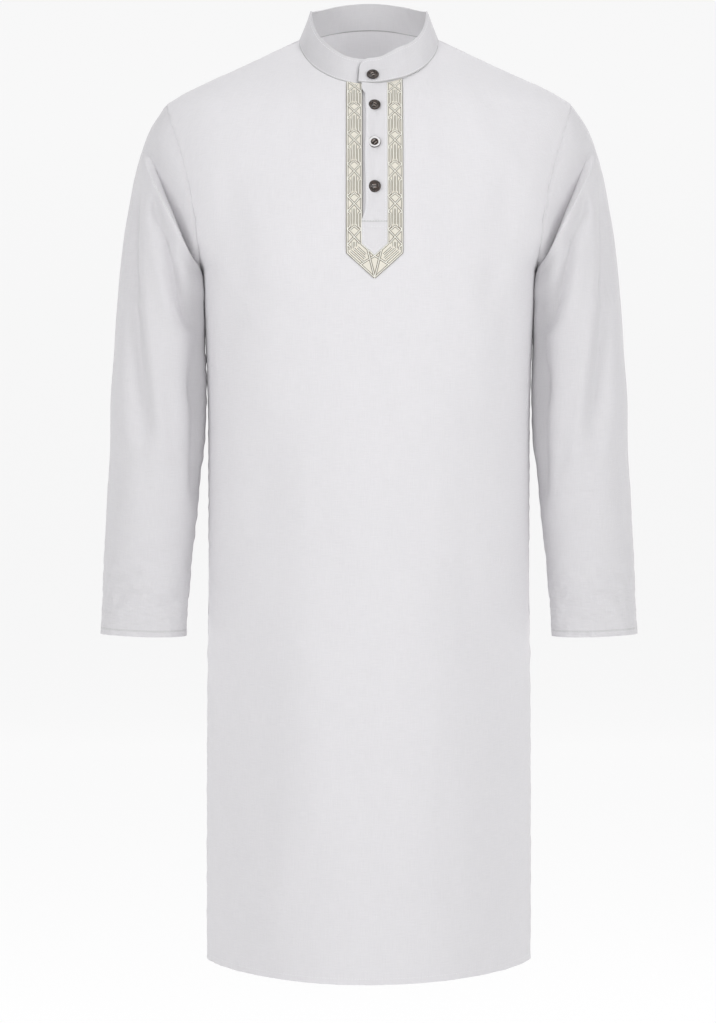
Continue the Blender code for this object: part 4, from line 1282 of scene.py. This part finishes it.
def trim_grid():
    """The trim's cloth, down one side, round the point and up the other side."""
    share = np.linspace(0, 1, 15)
    half_wide, corner, _ = trim_sizes(share)
    sides = []
    for way in (-1, 1):
        top = neck_z(-1, PLACKET_X + way * half_wide)
        down = np.linspace(0, 1, 110)[:, None]
        straight_x = np.broadcast_to(PLACKET_X + way * half_wide, (110, 15))
        straight_z = top + (corner - top) * down
        arm_x, arm_z = on_arm(way, 2 * share - 1, np.linspace(0, 1, 22)[1:, None])
        x, z = np.concatenate([straight_x, arm_x]), np.concatenate([straight_z, arm_z])
        lift = np.full(x.shape, TRIM_FACE - TRIM_CLOTH / 2)
        sides.append(on_front(x, z, lift))
    return np.concatenate([sides[0], sides[1][-2::-1]])[:, ::-1]


def finely(points):
    """The points of a bent line with steps of about a millimetre."""
    points = np.array(points)
    far = run_lengths(points, 0)
    at = np.linspace(0, far[-1], max(3, int(far[-1] / 0.0010) + 1))
    return np.stack([np.interp(at, far, points[:, k]) for k in (0, 1)], -1)


def pattern_paths():
    """The pattern's lines as their level and their x and z, over both sides and the foot."""
    z_at, length_at = heights_along()
    first = np.interp(-FIRST_CROSS_Z, -z_at, length_at)
    inner = BAND_HALF + SEAM_GAP
    paths = []
    for way in (-1, 1):
        for number in range(-1, CROSSINGS + 1):
            for level, *line in REPEAT_LINES:
                across = np.array([place[0] for place in line]) * way
                half_wide = trim_sizes((across + 1) / 2)[0]
                far = first + REPEAT * (number + np.array([place[1] for place in line]))
                z = np.interp(far, length_at, z_at)
                run = finely(np.stack([PLACKET_X + way * half_wide, z], -1))
                share = (np.abs(run[:, 0] - PLACKET_X) - inner) / (TRIM_HALF - inner)
                lowest = trim_sizes(share)[1] + 0.0006
                top = neck_z(-1, run[:, 0]) - TRIM_TOP_GAP
                inside = (run[:, 1] > lowest) & (run[:, 1] < top)
                if inside.sum() > 2:
                    paths.append((level, run[inside]))
        for level, *line in FOOT_LINES:
            paths.append((level, finely([on_arm(way, *place) for place in line])))
        for border in (-BORDER, BORDER):
            half_wide, corner, point = trim_sizes((border + 1) / 2)
            x = PLACKET_X + way * half_wide
            line = [(x, neck_z(-1, x) - TRIM_TOP_GAP), (x, corner), (PLACKET_X, point)]
            paths.append((0, finely(line)))
    return paths


def sewn_cords(name, paths, wide, high, foot, finish):
    """Half-round lines of thread along paths over the front, as one mesh of closed strips."""
    section = np.array([(-1, 0), (-0.75, 0.62), (0, 1), (0.75, 0.62), (1, 0), (0, -0.5)])
    corners, faces, uvs = [], [], []
    for level, path in paths:
        x, z = path[:, 0], path[:, 1]
        lift = np.full(x.shape, foot + level * OVER)
        here = on_front(x, z, lift)
        out = on_front(x, z, lift + 0.001) - here
        out /= np.linalg.norm(out, axis=-1, keepdims=True)
        ahead = np.gradient(here, axis=0)
        side = np.cross(out, ahead)
        side /= np.linalg.norm(side, axis=-1, keepdims=True)
        far = run_lengths(here, 0)
        taper = np.minimum(1, 0.45 + np.minimum(np.arange(len(x)), np.arange(len(x))[::-1]))
        base, count = len(corners), len(section)
        for n in range(len(x)):
            for across, up in section:
                aside = side[n] * across * wide / 2
                corners.append(here[n] + aside + out[n] * up * high * taper[n])
                uvs.append((across * wide / 2, far[n]))
        for n in range(len(x) - 1):
            for k in range(count):
                a, b = base + n * count + k, base + n * count + (k + 1) % count
                faces.append((a, a + count, b + count, b))
        faces.append(tuple(base + k for k in range(count)))
        last = base + (len(x) - 1) * count
        faces.append(tuple(last + k for k in reversed(range(count))))
    return new_piece(name, corners, faces, finish, np.array(uvs), slot="cream_gold_thread")


ground = embroidery_thread("trim_ground", (0.825, 0.793, 0.715), (0.705, 0.668, 0.577), 0.0008)
cream = embroidery_thread("cream_thread", (0.90, 0.89, 0.835), (0.80, 0.785, 0.705), 0.0006)
olive = embroidery_thread("olive_thread", (0.22, 0.193, 0.140), (0.14, 0.119, 0.082), 0.0006)

trim_points = trim_grid()
trim_uv = band_map(trim_points)
robe_trim = shell(
    "trim_ground",
    trim_points,
    ground,
    TRIM_CLOTH / 2,
    TRIM_CLOTH / 2,
    trim_uv,
    slot="cream_gold_thread",
)
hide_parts("trim")
paths = pattern_paths()
outlines = sewn_cords("trim_outlines", paths, EDGE_WIDE, EDGE_HIGH, TRIM_FACE, olive)
cords = sewn_cords("trim_cords", paths, CORD_WIDE, CORD_HIGH, TRIM_FACE + 0.00002, cream)

# ---------------------------------------------------------------- buttons

HOLE_RADIUS, HOLE_PLACE = 0.00078, 0.00165
LOOP_HALF = 0.00052  # half the width of a loop of the thread that holds a button
BUTTON_TURNS = (20, -15, 40, 8)  # how far each is turned, in degrees
# painted reflection: the third button's rim is coloured pale where light glints off it
GLINT_RIMMED = 3
GLINT_FROM, GLINT_TO = 0.62, 0.91  # painted reflection: the pale ring of glint on a rim, as shares of the button's radius


def in_order(mesh):
    """A copy of a mesh with its corners and faces in an order that is the same on every run."""
    places = [tuple(corner.co) for corner in mesh.vertices]
    order = sorted(range(len(places)), key=places.__getitem__)
    number = {old: new for new, old in enumerate(order)}
    faces = []
    for face in mesh.polygons:
        ring = [number[corner] for corner in face.vertices]
        start = ring.index(min(ring))
        faces.append(ring[start:] + ring[:start])
    ordered = bpy.data.meshes.new(mesh.name)
    ordered.from_pydata([places[n] for n in order], [], sorted(faces))
    return ordered


def button_mesh():
    """A turned shirt button with a raised rim, a sunk middle and four holes."""
    radius, thick = BUTTON_RADIUS, BUTTON_THICK
    profile = (
        (0, 0),
        (radius * 0.80, 0),
        (radius * 0.94, thick * 0.16),
        (radius, thick * 0.42),
        (radius * 0.985, thick * 0.72),
        (radius * 0.93, thick * 0.93),
        (radius * 0.86, thick),
        (radius * 0.77, thick * 0.98),
        (radius * 0.69, thick * 0.88),
        (radius * 0.62, thick * 0.70),
        (radius * 0.56, thick * 0.60),
        (radius * 0.30, thick * 0.56),
        (0, thick * 0.55),
    )
    shape = bmesh.new()
    spots = [shape.verts.new((r, 0, h)) for r, h in profile]
    edges = [shape.edges.new(pair) for pair in zip(spots, spots[1:])]
    bmesh.ops.spin(
        shape, geom=spots + edges, axis=(0, 0, 1), angle=2 * math.pi, steps=56, use_merge=True
    )
    bmesh.ops.remove_doubles(shape, verts=shape.verts, dist=1e-6)
    bmesh.ops.recalc_face_normals(shape, faces=shape.faces)
    mesh = bpy.data.meshes.new("button")
    shape.to_mesh(mesh)
    shape.free()

    drills = bmesh.new()
    for way_x in (-1, 1):
        for way_y in (-1, 1):
            place = Matrix.Translation((way_x * HOLE_PLACE, way_y * HOLE_PLACE, thick / 2))
            bmesh.ops.create_cone(
                drills,
                cap_ends=True,
                segments=16,
                radius1=HOLE_RADIUS,
                radius2=HOLE_RADIUS,
                depth=2 * thick,
                matrix=place,
            )
    drill_mesh = bpy.data.meshes.new("drill")
    drills.to_mesh(drill_mesh)
    drills.free()
    blank, drill = bpy.data.objects.new("blank", mesh), bpy.data.objects.new("drill", drill_mesh)
    for thing in (blank, drill):
        bpy.context.collection.objects.link(thing)
    cut = blank.modifiers.new("holes", "BOOLEAN")
    cut.operation, cut.object = "DIFFERENCE", drill
    graph = bpy.context.evaluated_depsgraph_get()
    drilled = in_order(blank.evaluated_get(graph).data)
    for thing in (blank, drill):
        bpy.data.objects.remove(thing)
    return drilled


def button_threads():
    """Two loops of thread across the holes."""
    corners, faces = [], []
    steps = np.linspace(-1, 1, 9)
    for way in (-1, 1):
        faces += tube_faces(len(corners), len(steps), 6)
        for step in steps:
            x = step * (HOLE_PLACE + 0.0002)
            z = BUTTON_THICK * 0.58 + 0.00075 * (1 - step**4) - 0.0006 * (abs(step) == 1)
            for turn in range(0, 360, 60):
                y = way * HOLE_PLACE + LOOP_HALF * math.cos(math.radians(turn))
                corners.append((x, y, z + LOOP_HALF * 0.8 * math.sin(math.radians(turn))))
    return corners, faces


def seat_on(point, out, spin):
    """The place of a button whose back faces a surface at point, turned by spin degrees."""
    turn = Vector(out).normalized().to_track_quat("Z", "Y").to_matrix().to_4x4()
    return Matrix.Translation(Vector(point)) @ turn @ Matrix.Rotation(math.radians(spin), 4, "Z")


def tab_button_seat():
    """Where the collar's button lies on its lapping end, and the way it faces."""
    turn = 2 * math.pi - math.asin(TAB_BUTTON_X / NECK_HALF)
    step = 0.02
    seam, rim = collar_line(np.array([turn - step, turn, turn + step]), corners)
    share = (TAB_BUTTON_Z - seam[1, 2]) / (rim[1, 2] - seam[1, 2])
    line = seam + (rim - seam) * share
    out = np.cross(rim[1] - seam[1], line[2] - line[0])
    out /= np.linalg.norm(out)
    out *= -np.sign(out[1])
    return line[1] + out * (COLLAR_LAP + COLLAR_CLOTH / 2 + LAY_GAP), out


def band_button_seat(z):
    """Where a button lies on the upper band at a height, and the way it faces."""
    lift = BAND_FACE + float(band_place(0.0, z)) + LAY_GAP
    here = on_front(PLACKET_X, z, lift)
    return here, on_front(PLACKET_X, z, lift + 0.001) - here


horn = polished_horn("dark_horn", (0.060, 0.034, 0.024), (0.007, 0.005, 0.0045), 0.25)
# painted reflection: a pale horn that paints the glint on a button's rim
rim_glint = polished_horn("horn_painted_rim_glint", (0.86, 0.85, 0.85), (0.70, 0.69, 0.70), 0.4)
brown_thread = Finish("button_thread", Base_Color=(0.36, 0.31, 0.28, 1), Roughness=0.6).material

button_shape = button_mesh()
thread_shape = button_threads()
seats = [tab_button_seat()] + [band_button_seat(z) for z in BUTTON_Z]
for number, ((point, out), spin) in enumerate(zip(seats, BUTTON_TURNS), start=1):
    mesh = button_shape.copy()
    mesh.materials.clear()
    mesh.materials.append(horn)
    mesh.shade_smooth()
    mesh.set_sharp_from_angle(angle=math.radians(35))
    # painted reflection: a pale ring of glint on this button's rim
    if number == GLINT_RIMMED:
        mesh.materials.append(rim_glint)
        for face in mesh.polygons:
            if GLINT_FROM < math.hypot(*face.center[:2]) / BUTTON_RADIUS < GLINT_TO:
                face.material_index = 1
    button = bpy.data.objects.new(f"robe_button_{number}", mesh)
    bpy.context.collection.objects.link(button)
    button.matrix_world = seat_on(point, out, spin)
    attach(button, "root")
    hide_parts(f"button_{number}")
    loops = new_piece(f"button_{number}_thread", *thread_shape, brown_thread, slot="dark_button")
    loops.matrix_world = seat_on(point, out, spin)

# ---------------------------------------------------------------- stage, light and camera

FLOOR_Z = -1.46
BACKDROP_Y, BACKDROP_TOP, BACKDROP_HALF = 6.6, 5.0, 8.0
BEND = 2.0  # the radius of the curve from the floor up into the backdrop
BACKDROP_GLOW = 0.835


def backdrop():
    """A pale floor that curves up into a backdrop."""
    profile = [(y, FLOOR_Z) for y in (-BACKDROP_HALF, -3.0, 0, 2.5)]
    for t in np.linspace(0, math.pi / 2, 25):
        rise = BEND * (1 - math.cos(t))
        profile.append((BACKDROP_Y - BEND + BEND * math.sin(t), FLOOR_Z + rise))
    profile.append((BACKDROP_Y, BACKDROP_TOP))
    spots = [(x, y, z) for y, z in profile for x in (-BACKDROP_HALF, BACKDROP_HALF)]
    faces = [(2 * n, 2 * n + 1, 2 * n + 3, 2 * n + 2) for n in range(len(profile) - 1)]
    mesh = bpy.data.meshes.new("backdrop")
    mesh.from_pydata(spots, [], faces)
    paper = Finish("pale_paper", Base_Color=(0.16, 0.16, 0.161, 1), Roughness=1.0)
    paper.shader.inputs["Emission Color"].default_value = (1, 1, 1, 1)
    paper.shader.inputs["Emission Strength"].default_value = BACKDROP_GLOW
    mesh.materials.append(paper.material)
    mesh.shade_smooth()
    piece = bpy.data.objects.new("backdrop", mesh)
    bpy.context.collection.objects.link(piece)


def soft_light(name, place, target, wide, high, power):
    """A soft light that faces its target and isn't seen by the camera."""
    lamp = bpy.data.lights.new(name, "AREA")
    lamp.shape, lamp.size, lamp.size_y, lamp.energy = "ELLIPSE", wide, high, power
    light = bpy.data.objects.new(name, lamp)
    bpy.context.collection.objects.link(light)
    light.location = place
    light.rotation_euler = (Vector(target) - Vector(place)).to_track_quat("-Z", "Y").to_euler()
    light.visible_camera = False


backdrop()
soft_light("left_side", (1.98, -1.80, 0.50), (0, 0, -0.40), 1.1, 1.9, 24.5)
soft_light("right_side", (-1.98, -1.80, 0.45), (0, 0, -0.42), 1.1, 1.9, 23.3)
soft_light("front", (0.25, -2.40, 1.15), (0, 0, -0.28), 1.0, 1.0, 11.6)
soft_light("top", (0, 0.1, 2.3), (0, 0, -0.3), 2.0, 2.0, 18)
soft_light("back_fill", (0.2, 1.9, 1.6), (0, 0, -0.5), 1.8, 1.8, 16)
soft_light("left_rim", (1.50, 1.00, -0.50), (0, 0, -0.55), 0.5, 1.2, 3.6)
soft_light("right_rim", (-1.50, 1.00, -0.50), (0, 0, -0.55), 0.5, 1.2, 3.6)
soft_light("floor_bounce", (0, -1.60, -1.35), (0, 0, -0.95), 1.2, 0.6, 1.7)
soft_light("inside", (0, -0.040, -0.150), (0, 0.085, -0.050), 0.10, 0.07, 0.145)

world = bpy.data.worlds.new("soft_daylight")
world.use_nodes = True
world.node_tree.nodes["Background"].inputs["Color"].default_value = (0.985, 0.985, 1.0, 1)
world.node_tree.nodes["Background"].inputs["Strength"].default_value = 0.29
bpy.context.scene.world = world
bpy.context.scene.view_settings.view_transform = "Standard"

lens = bpy.data.cameras.new("camera")
lens.sensor_fit, lens.sensor_height, lens.lens = "VERTICAL", 36.0, 93.11
lens.clip_end = 50
camera = bpy.data.objects.new("camera", lens)
bpy.context.collection.objects.link(camera)
camera.location = (-0.0128, -3.1, -0.3958)
camera.rotation_euler = (math.radians(90 - 2.82), 0, 0)
bpy.context.scene.camera = camera
